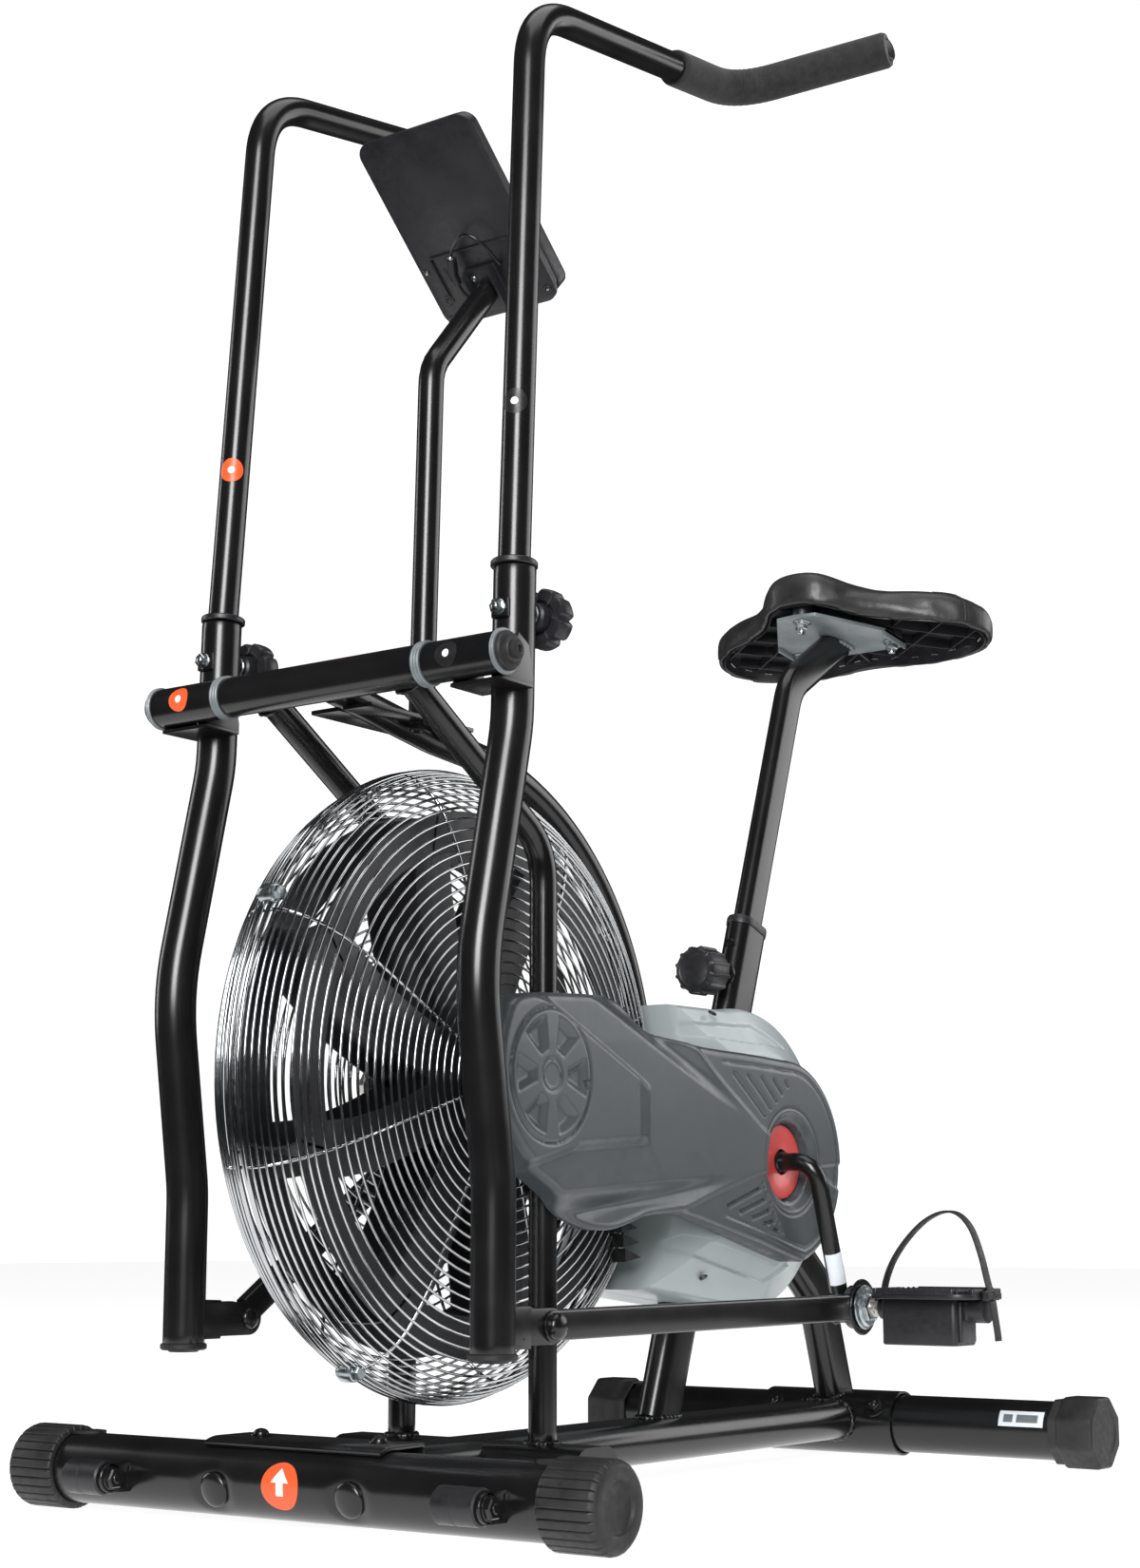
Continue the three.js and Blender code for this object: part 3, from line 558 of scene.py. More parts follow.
def loft(rings):
    """Closed skin over rings of equal point counts."""
    points = [p for one in rings for p in one]
    count = len(rings[0])
    faces = []
    for row in range(len(rings) - 1):
        for k in range(count):
            j = (k + 1) % count
            a = row * count
            faces.append((a + k, a + j, a + count + j, a + count + k))
    faces.append(tuple(reversed(range(count))))
    faces.append(tuple(range((len(rings) - 1) * count, len(rings) * count)))
    return points, faces


def moved(shell, transform):
    """A shell put through a function of points."""
    points, faces = shell
    return [transform(p) for p in points], faces


def mirrored(shell):
    """A shell mirrored from the left to the right side of the bike."""
    return moved(shell, lambda p: at_y(p, -p.y))


# ---- pieces ----------------------------------------------------------------------------------
def piece(name, shells, finish, body, replaces=(), sharp=35, bevel=0.0, slot=None):
    """Join closed shells into one smooth-shaded object that rides on a body."""
    mesh = bpy.data.meshes.new(name)
    build = bmesh.new()
    for points, faces in shells:
        verts = [build.verts.new(metres(p)) for p in points]
        for face in faces:
            try:
                build.faces.new([verts[i] for i in face])
            except ValueError:
                pass
    bmesh.ops.recalc_face_normals(build, faces=build.faces)
    if bevel:
        limit = math.radians(32)
        edges = [e for e in build.edges if len(e.link_faces) == 2 and e.calc_face_angle(0) > limit]
        bmesh.ops.bevel(build, geom=edges, offset=bevel / 1000, segments=2, profile=0.6,
                        affect="EDGES")
        bmesh.ops.recalc_face_normals(build, faces=build.faces)
    build.to_mesh(mesh)
    build.free()
    mesh.shade_smooth()
    mesh.set_sharp_from_angle(angle=math.radians(sharp))
    mesh.materials.append(MATERIALS[finish])
    obj = bpy.data.objects.new(name, mesh)
    bpy.context.scene.collection.objects.link(obj)
    if replaces:
        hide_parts(*replaces)
    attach(obj, body)
    return obj


def pair(name, shells, finish, bodies, replaces=(), **options):
    """A left piece and its mirror image; bodies and replaced nodes end in _left and _right."""
    for side in SIDES:
        made = shells if side == "left" else [mirrored(shell) for shell in shells]
        body = bodies if bodies == "frame" else f"{bodies}_{side}"
        nodes = [f"{node}_{side}" for node in replaces]
        piece(f"{name}_{side}", made, finish, body, nodes, **options)


# ---- feet --------------------------------------------------------------------------------------
def dented_tube(x, half, dents):
    """Foot tube along Y with shallow dimples: dents are (y, angle, depth, reach)."""
    sides = 64
    count = 150
    profile_y = [lerp(-half, half, i / count) for i in range(count + 1)]
    profile = [(0, -half)] + [(FOOT_R, y) for y in profile_y] + [(0, half)]

    def ripple(angle, radius, y):
        for dent_y, dent_angle, depth, reach in dents:
            around = (angle - dent_angle + math.pi) % (2 * math.pi) - math.pi
            far = math.hypot(around * FOOT_R, y - dent_y) / reach
            radius -= depth * (1 - smooth_step((far - 0.35) / 0.65))
        return radius

    return lathe((x, 0, FOOT_Z), ACROSS, profile, sides, ripple)


def make_feet():
    down = math.radians(14)
    dents = [(70 * s, down, 3.0, 24) for s in (1, -1)]
    front = dented_tube(0, 249.7, dents)
    piece("front_foot_tube", [front], "paint", "frame", ["front_foot"])
    rear = dented_tube(REAR_X, 251.7, [])
    piece("rear_foot_tube", [rear], "paint", "frame", ["rear_foot"])

    ribs = 28

    def ribbed(angle, radius, y):
        turn = (angle * ribs / (2 * math.pi)) % 1.0
        groove = 1 - smooth_step((abs(turn - 0.5) - 0.40) / 0.07) if radius > 31 else 1
        return radius if groove > 0.999 else radius - 2.0 * (1 - groove)

    profile = [
        (28.9, 0), (31.6, 0), (33.2, 0.8), (34, 2), (34, 20), (34, 46), (33.2, 48.4), (31, 50.6),
        (29.5, 51.6), (27.5, 52), (20.2, 52), (19.2, 51.4), (18.4, 49.2), (17.4, 48.6),
        (8, 48.0), (0, 48.0), (0, 40), (28.9, 40),
    ]
    cap = lathe((0, 250, FOOT_Z), ACROSS, profile, ribs * 12, ribbed)
    tab = prism(arc(0, 0, 15, 0, 180, 20), 0, 2.4)
    tab = moved(tab, lambda p: Vector((-4 + p.x * 0.9, 249 - p.z * 1.5, FOOT_Z + 27.4 + p.y)))
    pair("front_cap_ribbed", [cap, tab], "rubber", "frame", ["front_cap"], sharp=50)

    def octagon(angle, radius, y):
        if radius < 27:
            return radius
        step = math.pi / 4
        local = (angle + step / 2) % step - step / 2
        flat = radius / math.cos(local)
        corner = radius * 1.066
        return min(flat, corner)

    profile = [
        (28.8, 0), (30, 0), (31, 0.8), (31, 9), (32, 10.5), (33.2, 11.2), (34, 13), (34, 44),
        (33.2, 46.6), (31.2, 48), (24, 48), (22.5, 47), (0, 47), (0, 38), (28.8, 38),
    ]
    cap = lathe((REAR_X, 252, FOOT_Z), ACROSS, profile, 160, octagon)
    pair("rear_cap_octagonal", [cap], "rubber", "frame", ["rear_cap"], sharp=28)

    # Domed carriage bolts of the front foot lean a little down with their dimples.
    aim = Vector((math.cos(down), 0, -math.sin(down)))
    seat = Vector((0, 70, FOOT_Z)) + aim * (FOOT_R - 3.4)
    bolt = [dome(seat, aim, 14, 4.6, 1.2)]
    pair("front_bolt_dome", bolt, "paint", "frame", ["front_bolt"])


def make_rollers():
    x, z = 47.0, 33.0
    for side, y0 in (("left", 176.0), ("right", -207.0)):
        body = ring((x, y0, z), ACROSS, 4.4, 14, 40, 1.4, 40)
        groove = ring((x, y0 + 17.6, z), ACROSS, 13.0, 14.15, 0.9, 0.2, 40)
        piece(f"roller_{side}_drum", [body, groove], "plastic", f"roller_{side}",
              [f"roller_{side}"])
        plate = block((FOOT_R - 5, y0 + 41, z - 12), (x + 3, y0 + 44.5, z + 12))
        nose = disc((x, y0 + 41, z), ACROSS, 11.5, 3.5)
        pin = disc((x, y0 - 5, z), ACROSS, 4, 57)
        nut = hex_head((x, y0 + 44.5, z), ACROSS, 15, 6.5)
        washer = disc((x, y0 + 44.4, z), ACROSS, 9.5, 1.4)
        end = disc((x, y0 - 6.4, z), ACROSS, 6.2, 5, 1.4)
        flange = block((FOOT_R - 4, y0 + 30, z - 9), (FOOT_R + 1.5, y0 + 45, z + 9))
        piece(f"roller_{side}_bracket", [plate, nose, pin, end, flange], "paint", "frame",
              [f"roller_bracket_{side}"], bevel=0.7)
        piece(f"roller_{side}_nut", [nut, washer], "paint", "frame", sharp=25)


def make_rail():
    section = oval_section(38, 72, 14)
    beam = sweep([Vector((x, 0, RAIL_MIDDLE)) for x in np.linspace(REAR_X + 18, -21, 60)],
                 section, UP)
    saddle_outline = (
        [(-38, 64), (-38, 67)] + arc(0, FOOT_Z, FOOT_R + 4.5, 92, 60, 8)
        + arc(0, FOOT_Z, FOOT_R + 1.0, 60, 92, 8)
    )
    saddle = prism(saddle_outline, -92, 92)
    apron = prism([(-38, 64), (-38, 50), (-35.4, 50), (-35.4, 64)], -92, 92)
    cross = sweep([Vector((FORK_X, y, RAIL_MIDDLE)) for y in np.linspace(-132, 132, 30)],
                  oval_section(34, 60, 12), UP)
    cut = Vector((REAR_X, 0, FOOT_Z))
    sleeve = ring(cut + Vector((0, -78, 0)), ACROSS, FOOT_R + 0.8, FOOT_R + 3.7, 156, 0.8, 64)
    piece("base_rail_tubes", [beam, cross], "paint", "frame", ["base_rail"])
    piece("rail_saddle", [saddle, apron], "paint", "frame", bevel=0.8)
    piece("rail_sleeve", [sleeve], "paint", "frame")
    beads = []
    for s in (1, -1):
        beads.append(weld(circle((FORK_X, FORK_Y * s, RAIL_TOP - 1.5), UP, FORK_R + 1.2),
                          2.4, s))
    front = [Vector((REAR_X + 33.5, y, z)) for y, z in
             [(b, RAIL_MIDDLE + a) for a, b in oval_section(38, 72, 14)]]
    beads.append(weld(front, 2.3, 4))
    piece("rail_weld_beads", beads, "paint", "frame", sharp=80)

    bolts = []
    for s in (1, -1):
        tilt = Vector((math.cos(math.radians(35)), 0, math.sin(math.radians(35))))
        base = Vector((REAR_X, 58 * s, FOOT_Z)) + tilt * (FOOT_R + 3.2)
        bolts.append(ring(base - tilt * 0.6, tilt, 4, 13, 1.8, 0.6, 40))
        bolts.append(hex_head(base, tilt, 13, 5.5))
        bolts.append(dome(base + tilt * 5.0, tilt, 4.6, 2.2))
    for y in (-62, 62):
        bolts.append(disc((-19, y, 66.5), UP, 9, 1.6))
        bolts.append(dome((-19, y, 68), UP, 6.5, 4.5))
    piece("rail_bolts", bolts, "paint", "frame", sharp=25)
    # Bracket foot under the rail, for storing the bike upright.
    lugs = [block((x, -18, 10), (x + 5, 18, 20)) for x in (-404, -372)]
    lugs.append(block((-404, -18, 9.5), (-367, 18, 12.5)))
    piece("rail_under_bracket", lugs, "paint", "frame", bevel=0.8)


# ---- fork, pivot, spine ------------------------------------------------------------------------
def fork_path():
    corners = [[FORK_X, FORK_Y, 55], [FORK_X, FORK_Y, 556, 60], [-12, FORK_Y, 682]]
    return rounded(corners, 14)


def spine_path():
    points = [Vector((x, 0, z)) for x, z in arc(FAN.x, FAN.z, SPINE_R, 184, 96, 60)]
    return points + [Vector((-150, 0, 650)), Vector((-20, 0, 672))]


def make_upper_frame():
    fork = tube(resample(fork_path(), 9), FORK_R)
    boss = disc(at_y(FAN, FORK_Y - 3), ACROSS, 17, 6, 1.0)
    ear = block((FORK_X + 4, FORK_Y - 3, FAN.z - 13), (FAN.x, FORK_Y + 3, FAN.z + 13))
    bead = weld(circle((-28, FORK_Y, 670), (0.83, 0, 0.55), FORK_R + 0.8), 2.0, 2)
    pair("fork_tube", [fork], "paint", "frame", ["fork"])
    pair("fork_dropout", [boss, ear], "paint", "frame", bevel=0.8)
    pair("fork_weld", [bead], "paint", "frame", sharp=80)

    cross = tube([at_y(PIVOT, y) for y in np.linspace(-109, 109, 24)], PIVOT_R, 44)
    piece("pivot_cross_tube", [cross], "paint", "frame", ["pivot_tube"])
    rings = [
        ring(at_y(PIVOT, 106.0 + 2.9 * k), ACROSS, 9, PIVOT_R + 1.9, 2.7, 0.9, 48)
        for k in range(3)
    ]
    pair("pivot_washers", rings, "plate", "frame", ["pivot_ring"])

    spine = tube(resample(spine_path(), 9), SPINE_TUBE_R, 32)
    piece("spine_tube_bent", [spine], "paint", "frame", ["spine_tube"])
    for s, side in ((1, "left"), (-1, "right")):
        ys = sorted((2.0 * s, 33.0 * s))
        plate = block((-168, ys[0], 655), (-30, ys[1], 659))
        piece(f"gusset_{side}", [plate], "paint", "frame",
              [f"gusset_plate_{side}"], bevel=0.9)
    bolts = []
    for x in (-106, -151):
        bolts.append(disc((x, 20, 653.6), UP, 8, 1.4))
        bolts.append(hex_head((x, 20, 653.6), (0, 0, -1), 12, 6))
        bolts.append(disc((x, 20, 645), UP, 3.2, 8))
    piece("gusset_bolts", bolts, "paint", "frame", sharp=25)

    corners = [[-136, 0, 661], [-145, 0, 988, 45], [-226, 0, 1086]]
    post = tube(resample(rounded(corners, 14), 9), 11.5)
    bead = weld(circle((-136.4, 0, 661), UP, 12.4), 2.0, 7)
    piece("console_post_tube", [post, bead], "paint", "frame", ["console_post"])


# ---- console -----------------------------------------------------------------------------------
CONSOLE_CENTRE = Vector((-180.0, 0.0, 1136.5))
CONSOLE_TILT = math.radians(42.3)
CONSOLE_LENGTH = 192.0
CONSOLE_WIDTH = 130.0


def on_console(p):
    """From the console's own axes (x up its back, z out of its face) to the layout."""
    c = math.cos(CONSOLE_TILT)
    s = math.sin(CONSOLE_TILT)
    return CONSOLE_CENTRE + Vector((p.x * c - p.z * s, p.y, p.x * s + p.z * c))


def make_console():
    def tilted(shells):
        return [moved(shell, on_console) for shell in shells]

    hx, hy = CONSOLE_LENGTH / 2, CONSOLE_WIDTH / 2
    back = flat_plate(hx, hy, 14, 0, 6, soft=1.2)
    piece("console_back_plate", tilted([back]), "plastic", "frame",
          ["console_back"])
    body = flat_plate(hx - 3, hy - 3, 13, 6.3, 16, soft=2.0)
    bezel = flat_plate(43, hy - 2, 10, 12, 31, (-50, 0), soft=3.0)
    piece("console_front_shell", tilted([body, bezel]), "plastic", "frame",
          ["console_housing"])
    glass = flat_plate(27, 42, 4, 30.8, 31.6, (-42, 0), soft=0.3)
    keys = [flat_plate(4, 9, 3.5, 30.7, 32.4, (-80, y), soft=0.8) for y in (-25, 0, 25)]
    piece("console_screen", tilted([glass]), "black_label", "frame")
    piece("console_keys", tilted(keys), "rubber", "frame")
    # Raised border of the mounting area on the back, its bracket, screws and slots.
    rim = [
        flat_plate(1.0, 45, 0.8, -2.2, 0.4, (-25, -2), soft=0.4),
        flat_plate(22, 1.0, 0.8, -2.2, 0.4, (-47, -47), soft=0.4),
        flat_plate(22, 1.0, 0.8, -2.2, 0.4, (-47, 43), soft=0.4),
    ]
    bracket = flat_plate(22, 19, 4, -5.0, 0.2, (-66, 0), soft=0.8)
    wall = [flat_plate(20, 1.6, 1.2, -14, 0, (-66, y), soft=0.5) for y in (-15, 15)]
    piece("console_mount", tilted(rim + [bracket] + wall), "plastic", "frame")
    down = Vector((0, 0, -1))
    holes = ((-38, -59), (-84, 57), (-89, -58), (-40, 57))
    screws = []
    for x, y in holes:
        screws.append(dome((x, y, -0.1), down, 2.0, 1.0, sides=20))
    for x, y in ((-54, -9), (-72, 9)):
        screws.append(dome((x, y, -5), down, 3.2, 1.8, sides=24))
    piece("console_screws", tilted(screws), "zinc", "frame")
    # Painted shade: dark rings round the screw holes, a dark ring with a disc, and a dark slot stand
    # for the shade inside the holes, the socket and the vent.
    dark = [ring((x, y, 0.3), down, 2.2, 4.0, 1.2, 0.4, 24) for x, y in holes]
    dark += [
        ring((-70, -50, 0.3), down, 3.4, 5.6, 1.2, 0.4, 24),
        disc((-70, -50, 0.2), down, 3.3, 0.5, 0.2, 24),
        flat_plate(8, 1.4, 1.2, -0.5, 0.3, (-46, -38), soft=0.2),
    ]
    piece("console_painted_shade_holes", tilted(dark), "black_label", "frame")

    # The sensor lead lies in a loop on the back, with a plug part of the way along.
    knots = [(-46, 26, -1.5), (-44, 26, -7), (-22, 24, -12), (-8, 10, -12),
             (-18, -10, -12), (-34, -20, -12), (-56, -22, -12), (-74, -14.5, -13)]
    route = resample(catmull([Vector(k) for k in knots]), 1.5)
    line = [on_console(p) for p in route]
    lead = tube(line, 1.5, 16, 0.4)
    cable = piece("console_lead_cable", [lead], "paint", "frame", ["console_lead"],
                  slot="black_plastic")
    plug = [
        sweep([on_console(Vector(p)) for p in ((-27, -16, -12), (-40, -21.2, -12))],
              box_section(7, 9, 1.5)),
        sweep([on_console(Vector(p)) for p in ((-40.4, -21.2, -12), (-52, -22, -12))],
              box_section(5.4, 7, 1.2)),
    ]
    piece("console_lead_plug", plug, "plastic", "frame")
    tie = ring(on_console(Vector((-25, -14.8, -12))), (0.2, -0.6, -0.7), 1.2, 2.6, 3.2, 0.5, 20)
    piece("console_lead_ferrule", [tie], "zinc", "frame")


# ---- seat tube, rear post -------------------------------------------------------------------
def rear_post_path():
    corners = [[REAR_X + 6, 0, 58], [-792, 0, 168, 70], [-600, 0, 322]]
    return rounded(corners, 14)


def make_seat_frame():
    path = [seat_axis(z) for z in np.linspace(52, SOCKET_TOP_Z, 50)]
    outer = sweep(path, oval_section(28, 50, 14))
    piece("seat_tube_outer", [outer], "paint", "frame", ["seat_tube"])
    shell = ring(at_y(CRANK, -38), ACROSS, 9.2, 25, 76, 1.0, 48)
    piece("bottom_bracket", [shell], "paint", "frame")
    post = sweep(resample(rear_post_path(), 8), oval_section(28, 50, 14))
    piece("rear_post_tube", [post], "paint", "frame", ["rear_post"])
    beads = []
    base = seat_axis(RAIL_TOP)
    section = oval_section(28, 50, 14)
    beads.append(weld([base + Vector((-b * 1.04, a, 0.4)) for a, b in section], 2.5, 5))
    foot = rear_post_path()[0]
    beads.append(weld([Vector((foot.x + 1 + b, a * 1.04, 62.5 - 0.012 * b * b))
                       for a, b in section], 2.7, 9))
    piece("post_weld_beads", beads, "paint", "frame", sharp=80)

    top = seat_axis(SOCKET_TOP_Z)
    up = (seat_axis(SOCKET_TOP_Z + 10) - top).normalized()
    rim = sweep([top + up * t for t in (0.4, 2.0, 7.0, 9.0)],
                oval_section(30, 52, 14), scales=[0.99, 1.0, 1.0, 0.97])
    piece("socket_bush_rim", [rim], "plastic", "frame", ["socket_bush"])
    aim = Vector(AHEAD)
    face = seat_axis(SOCKET_TOP_Z - 16) + Vector((25.6, 0, 0))
    piece("socket_front_screw", [ring(face - aim * 1.2, aim, 2.5, 6.5, 2.2, 0.6, 24),
                                 dome(face - aim * 0.8, aim, 3.2, 1.6, sides=20)],
          "paint", "frame")
    # Threaded boss of the seat knob.
    nut = seat_axis(SEAT_KNOB_Z) + Vector((25.0, 0, 0))
    piece("seat_knob_boss", [disc(nut, AHEAD, 13, 3.6, 1.0, 32)], "paint", "frame")


# ---- wire cage ---------------------------------------------------------------------------------
CAGE_PROFILE = [(34, 59), (105, 59), (175, 57), (206, 53.5), (232, 47), (248, 38), (260, 26),
                (266, 14), (268, 5)]


def cage_y(radius):
    """Distance of the dish from the middle plane at a radius."""
    for (r0, y0), (r1, y1) in zip(CAGE_PROFILE, CAGE_PROFILE[1:]):
        if radius <= r1:
            return lerp(y0, y1, (radius - r0) / (r1 - r0))
    return CAGE_PROFILE[-1][1]


def wire_hoop(radius, y, wire, steps=112, sides=8):
    path = [Vector((FAN.x + x, y, FAN.z + z)) for x, z in arc(0, 0, radius, 0, 360, steps)[:-1]]
    return sweep(path, round_section(wire, sides), closed=True)


def make_cage():
    hoops = []
    for k in range(22):
        radius = 34 + 9.5 * k
        hoops.append(wire_hoop(radius, cage_y(radius), 1.2, 72 + 2 * k))
    wall = [(239, 43.4), (245, 39.8), (251, 35.4), (255.5, 30.8), (259.5, 26), (262.6, 20.8),
            (265, 15.5), (266.8, 10)]
    for radius, y in wall:
        hoops.append(wire_hoop(radius, y, 1.2, 120))
    hoops.append(wire_hoop(CAGE_RIM_R, 4.2, 2.3, 128, 10))
    spokes = []
    for k in range(8):
        angle = math.radians(28 + 45 * k)
        path = [around(FAN, r, angle, y - 2.4) for r, y in [(30, 59), *CAGE_PROFILE[:-1]]]
        path.append(around(FAN, 265.4, angle, 3))
        side = Vector((-math.sin(angle), 0, math.cos(angle)))
        spokes.append(sweep(resample(catmull(path, 6), 5), round_section(1.5, 8), side))
    centre = ring(at_y(FAN, 55.6), ACROSS, 12, 37, 3.0, 0.8, 48)
    pair("cage_wires", hoops + spokes, "chrome", "frame", ["cage"], sharp=60)
    pair("cage_centre_plate", [centre], "chrome", "frame")
    clamps = []
    for angle in (31, 148, 205, 298):
        a = math.radians(angle)
        out = Vector((math.cos(a), 0, math.sin(a)))
        spot = FAN + out * 269
        spot.y = 0
        clamps.append(disc(spot + Vector((0, -7, 0)), ACROSS, 8.2, 14, 1.6, 24))
        clamps.append(hex_head(spot + Vector((0, 7, 0)), ACROSS, 11, 6))
        clamps.append(dome(spot + Vector((0, -7, 0)), (0, -1, 0), 6.4, 4.0, 1.0, 20))
    piece("cage_clamps", clamps, "zinc", "frame", sharp=28)


# ---- fan ---------------------------------------------------------------------------------------
def make_fan():
    shells = [disc(at_y(FAN, -30), ACROSS, 42, 60, 4.0, 56)]
    for y in (-30, 27.5):
        shells.append(ring(at_y(FAN, y), ACROSS, 196, 231.5, 2.5, 0.6, 112))
        shells.append(ring(at_y(FAN, y), ACROSS, 40, 66, 2.5, 0.6, 72))
    blades = 8
    for k in range(blades):
        turn = math.radians(360 / blades * k + 12)
        rings = []
        for r in np.linspace(FAN_HUB_R, FAN_TIP_R, 22):
            share = (r - FAN_HUB_R) / (FAN_TIP_R - FAN_HUB_R)
            lean = 0.30 * share ** 1.5
            half = lerp(26, 30, smooth_step(share * 1.6))
            row = []
            for y, thick in [(-half, 1.2), (-half * 0.5, 1.2), (0, 1.2), (half * 0.5, 1.2),
                             (half, 1.2), (half, -1.2), (half * 0.5, -1.2), (0, -1.2),
                             (-half * 0.5, -1.2), (-half, -1.2)]:
                cup = 5.5 * share * (y / half) ** 2
                angle = turn + lean
                across = thick + cup
                row.append(Vector((
                    FAN.x + r * math.cos(angle) - across * math.sin(angle), y,
                    FAN.z + r * math.sin(angle) + across * math.cos(angle))))
            rings.append(row)
        shells.append(loft(rings))
        spoke_angle = turn + 0.12
        for y in (-28.5, 28.5):
            path = []
            for r in np.linspace(38, 200, 10):
                angle = spoke_angle + 0.18 * (r / FAN_TIP_R) ** 2
                path.append(around(FAN, r, angle, y))
            shells.append(sweep(path, box_section(2.4, 46, 1.0, 2)))
    piece("fan_paddle_wheel", shells, "plastic", "fan", ["fan_wheel"], sharp=40)
    axle = [
        disc(at_y(FAN, -98), ACROSS, 8, 202, 1.0, 32),
        hex_head(at_y(FAN, -92), ACROSS, 24, 8),
        ring(at_y(FAN, -84), ACROSS, 8.1, 15, 2, 0.5, 40),
        ring(at_y(FAN, 98), ACROSS, 7.9, 20, 4, 0.5, 48),
    ]
    piece("fan_axle_bar", axle, "steel", "fan", ["fan_axle"], sharp=28)


# ---- crank and drive ----------------------------------------------------------------------------
def make_crank():
    left = PIN["left"]
    right = PIN["right"]
    corners = [[*at_y(right, -CRANK_Y)], [*at_y(CRANK, -CRANK_Y), 24],
               [*at_y(CRANK, CRANK_Y), 24], [*at_y(left, CRANK_Y)]]
    bar = tube(resample(rounded(corners, 14), 6), CRANK_R, 28)
    bosses = [disc(at_y(left, 135.5), ACROSS, 15, 17.2, 1.4, 40),
              disc(at_y(right, -152.7), ACROSS, 15, 17.2, 1.4, 40)]
    beads = [weld(circle(at_y(left, 136.5), ACROSS, 15), 1.6, 3),
             weld(circle(at_y(right, -136.5), ACROSS, 15), 1.6, 6)]
    piece("crankshaft_bar", [bar, *bosses, *beads], "paint", "crank", ["crankshaft"])

    teeth = 44

    def toothed(angle, radius, y):
        if radius < 78:
            return radius
        return radius + 3.0 * max(0.0, math.cos(angle * teeth)) ** 0.7

    wheel = lathe(at_y(CRANK, 98), ACROSS,
                  [(9, 0), (79, 0), (80, 0.8), (80, 3.2), (79, 4), (9, 4)], teeth * 8, toothed)
    piece("chainring_toothed", [wheel], "zinc", "crank", ["chainring"], sharp=45)
    for side, y in (("left", 103.4), ("right", -84.0)):
        face = lathe(at_y(CRANK, y), ACROSS,
                     [(12.2, 0.4), (12.2, 0.2), (33, 0), (35.0, 0.8), (35.0, 1.6), (34.2, 2.4),
                      (13.2, 3.4), (12.2, 2.8)], 72)
        piece(f"crank_disc_{side}_face", [face], "red", "crank",
              [f"crank_disc_{side}"])
        collar = lathe(at_y(CRANK, y - 1), ACROSS,
                       [(8.4, 0), (11.9, 0), (12.0, 6), (11.0, 7), (8.4, 7)], 40,
                       lambda a, r, h: r * (1 + 0.18 * math.cos(2 * a)) if r > 10 else r)
        piece(f"crank_collar_{side}", [collar], "paint", "crank")


def chain_loop(big, small):
    """Stadium-like loop round the two chain wheels as (x, z) points."""
    span = FAN - CRANK
    heading = math.degrees(math.atan2(span.z, span.x))
    lean = math.degrees(math.acos((big - small) / span.length))
    return (arc(CRANK.x, CRANK.z, big, heading + lean, heading + 360 - lean, 60)
            + arc(FAN.x, FAN.z, small, heading - lean, heading + lean, 24))


def make_chain():
    route = [Vector((x, 100, z)) for x, z in chain_loop(84, 24)]
    route = resample(route + [route[0]], 12.7)[:-1]
    links = []
    for k, point in enumerate(route):
        after = route[(k + 1) % len(route)]
        wide = 1.5 if k % 2 else 2.3
        for y in (-wide, wide):
            shift = Vector((0, y, 0))
            middle = point.lerp(after, 0.5)
            chord = [point - (after - point) * 0.15, middle, after + (after - point) * 0.15]
            links.append(sweep([p + shift for p in chord], box_section(0.7, 7, 0.3, 2), ACROSS,
                               scales=[0.9, 0.8, 0.9]))
        links.append(disc(point - Vector((0, 2.4, 0)), ACROSS, 2.6, 4.8, 0.3, 12))
    piece("chain_links", links, "steel", "frame", ["drive_chain"], sharp=30)


# ---- drive casing -------------------------------------------------------------------------------
def polygon_distance(outline, xs, zs):
    """Signed distance of points to a closed outline, positive inside, and the nearest points."""
    corners = np.array(outline, float)
    ends = np.roll(corners, -1, axis=0)
    best = np.full(xs.shape, 1e9)
    near_x = np.zeros(xs.shape)
    near_z = np.zeros(xs.shape)
    inside = np.zeros(xs.shape, bool)
    for (ax, az), (bx, bz) in zip(corners, ends):
        length = max((bx - ax) ** 2 + (bz - az) ** 2, 1e-12)
        t = np.clip(((xs - ax) * (bx - ax) + (zs - az) * (bz - az)) / length, 0, 1)
        px = ax + t * (bx - ax)
        pz = az + t * (bz - az)
        far = np.hypot(xs - px, zs - pz)
        closer = far < best
        best = np.where(closer, far, best)
        near_x = np.where(closer, px, near_x)
        near_z = np.where(closer, pz, near_z)
        crossing = (az > zs) != (bz > zs)
        slope = (bx - ax) * (zs - az) / (bz - az if abs(bz - az) > 1e-12 else 1e-12) + ax
        inside ^= crossing & (xs < slope)
    return np.where(inside, best, -best), near_x, near_z


def segment_distance(xs, zs, a, b):
    length = (b[0] - a[0]) ** 2 + (b[1] - a[1]) ** 2
    t = np.clip(((xs - a[0]) * (b[0] - a[0]) + (zs - a[1]) * (b[1] - a[1])) / length, 0, 1)
    return np.hypot(xs - a[0] - t * (b[0] - a[0]), zs - a[1] - t * (b[1] - a[1]))


def side_of_line(xs, zs, a, b):
    """Distance to the left of the line from a to b."""
    dx, dz = b[0] - a[0], b[1] - a[1]
    return ((zs - a[1]) * dx - (xs - a[0]) * dz) / math.hypot(dx, dz)


def ease(values, width):
    """Smooth rise from 0 to 1 across a width."""
    t = np.clip(values / width, 0, 1)
    return t * t * (3 - 2 * t)


def chaikin(outline, rounds=2):
    """Round the corners of a closed outline."""
    for _ in range(rounds):
        cut = []
        for (ax, az), (bx, bz) in zip(outline, outline[1:] + outline[:1]):
            cut.append((lerp(ax, bx, 0.2), lerp(az, bz, 0.2)))
            cut.append((lerp(ax, bx, 0.8), lerp(az, bz, 0.8)))
        outline = cut
    return outline


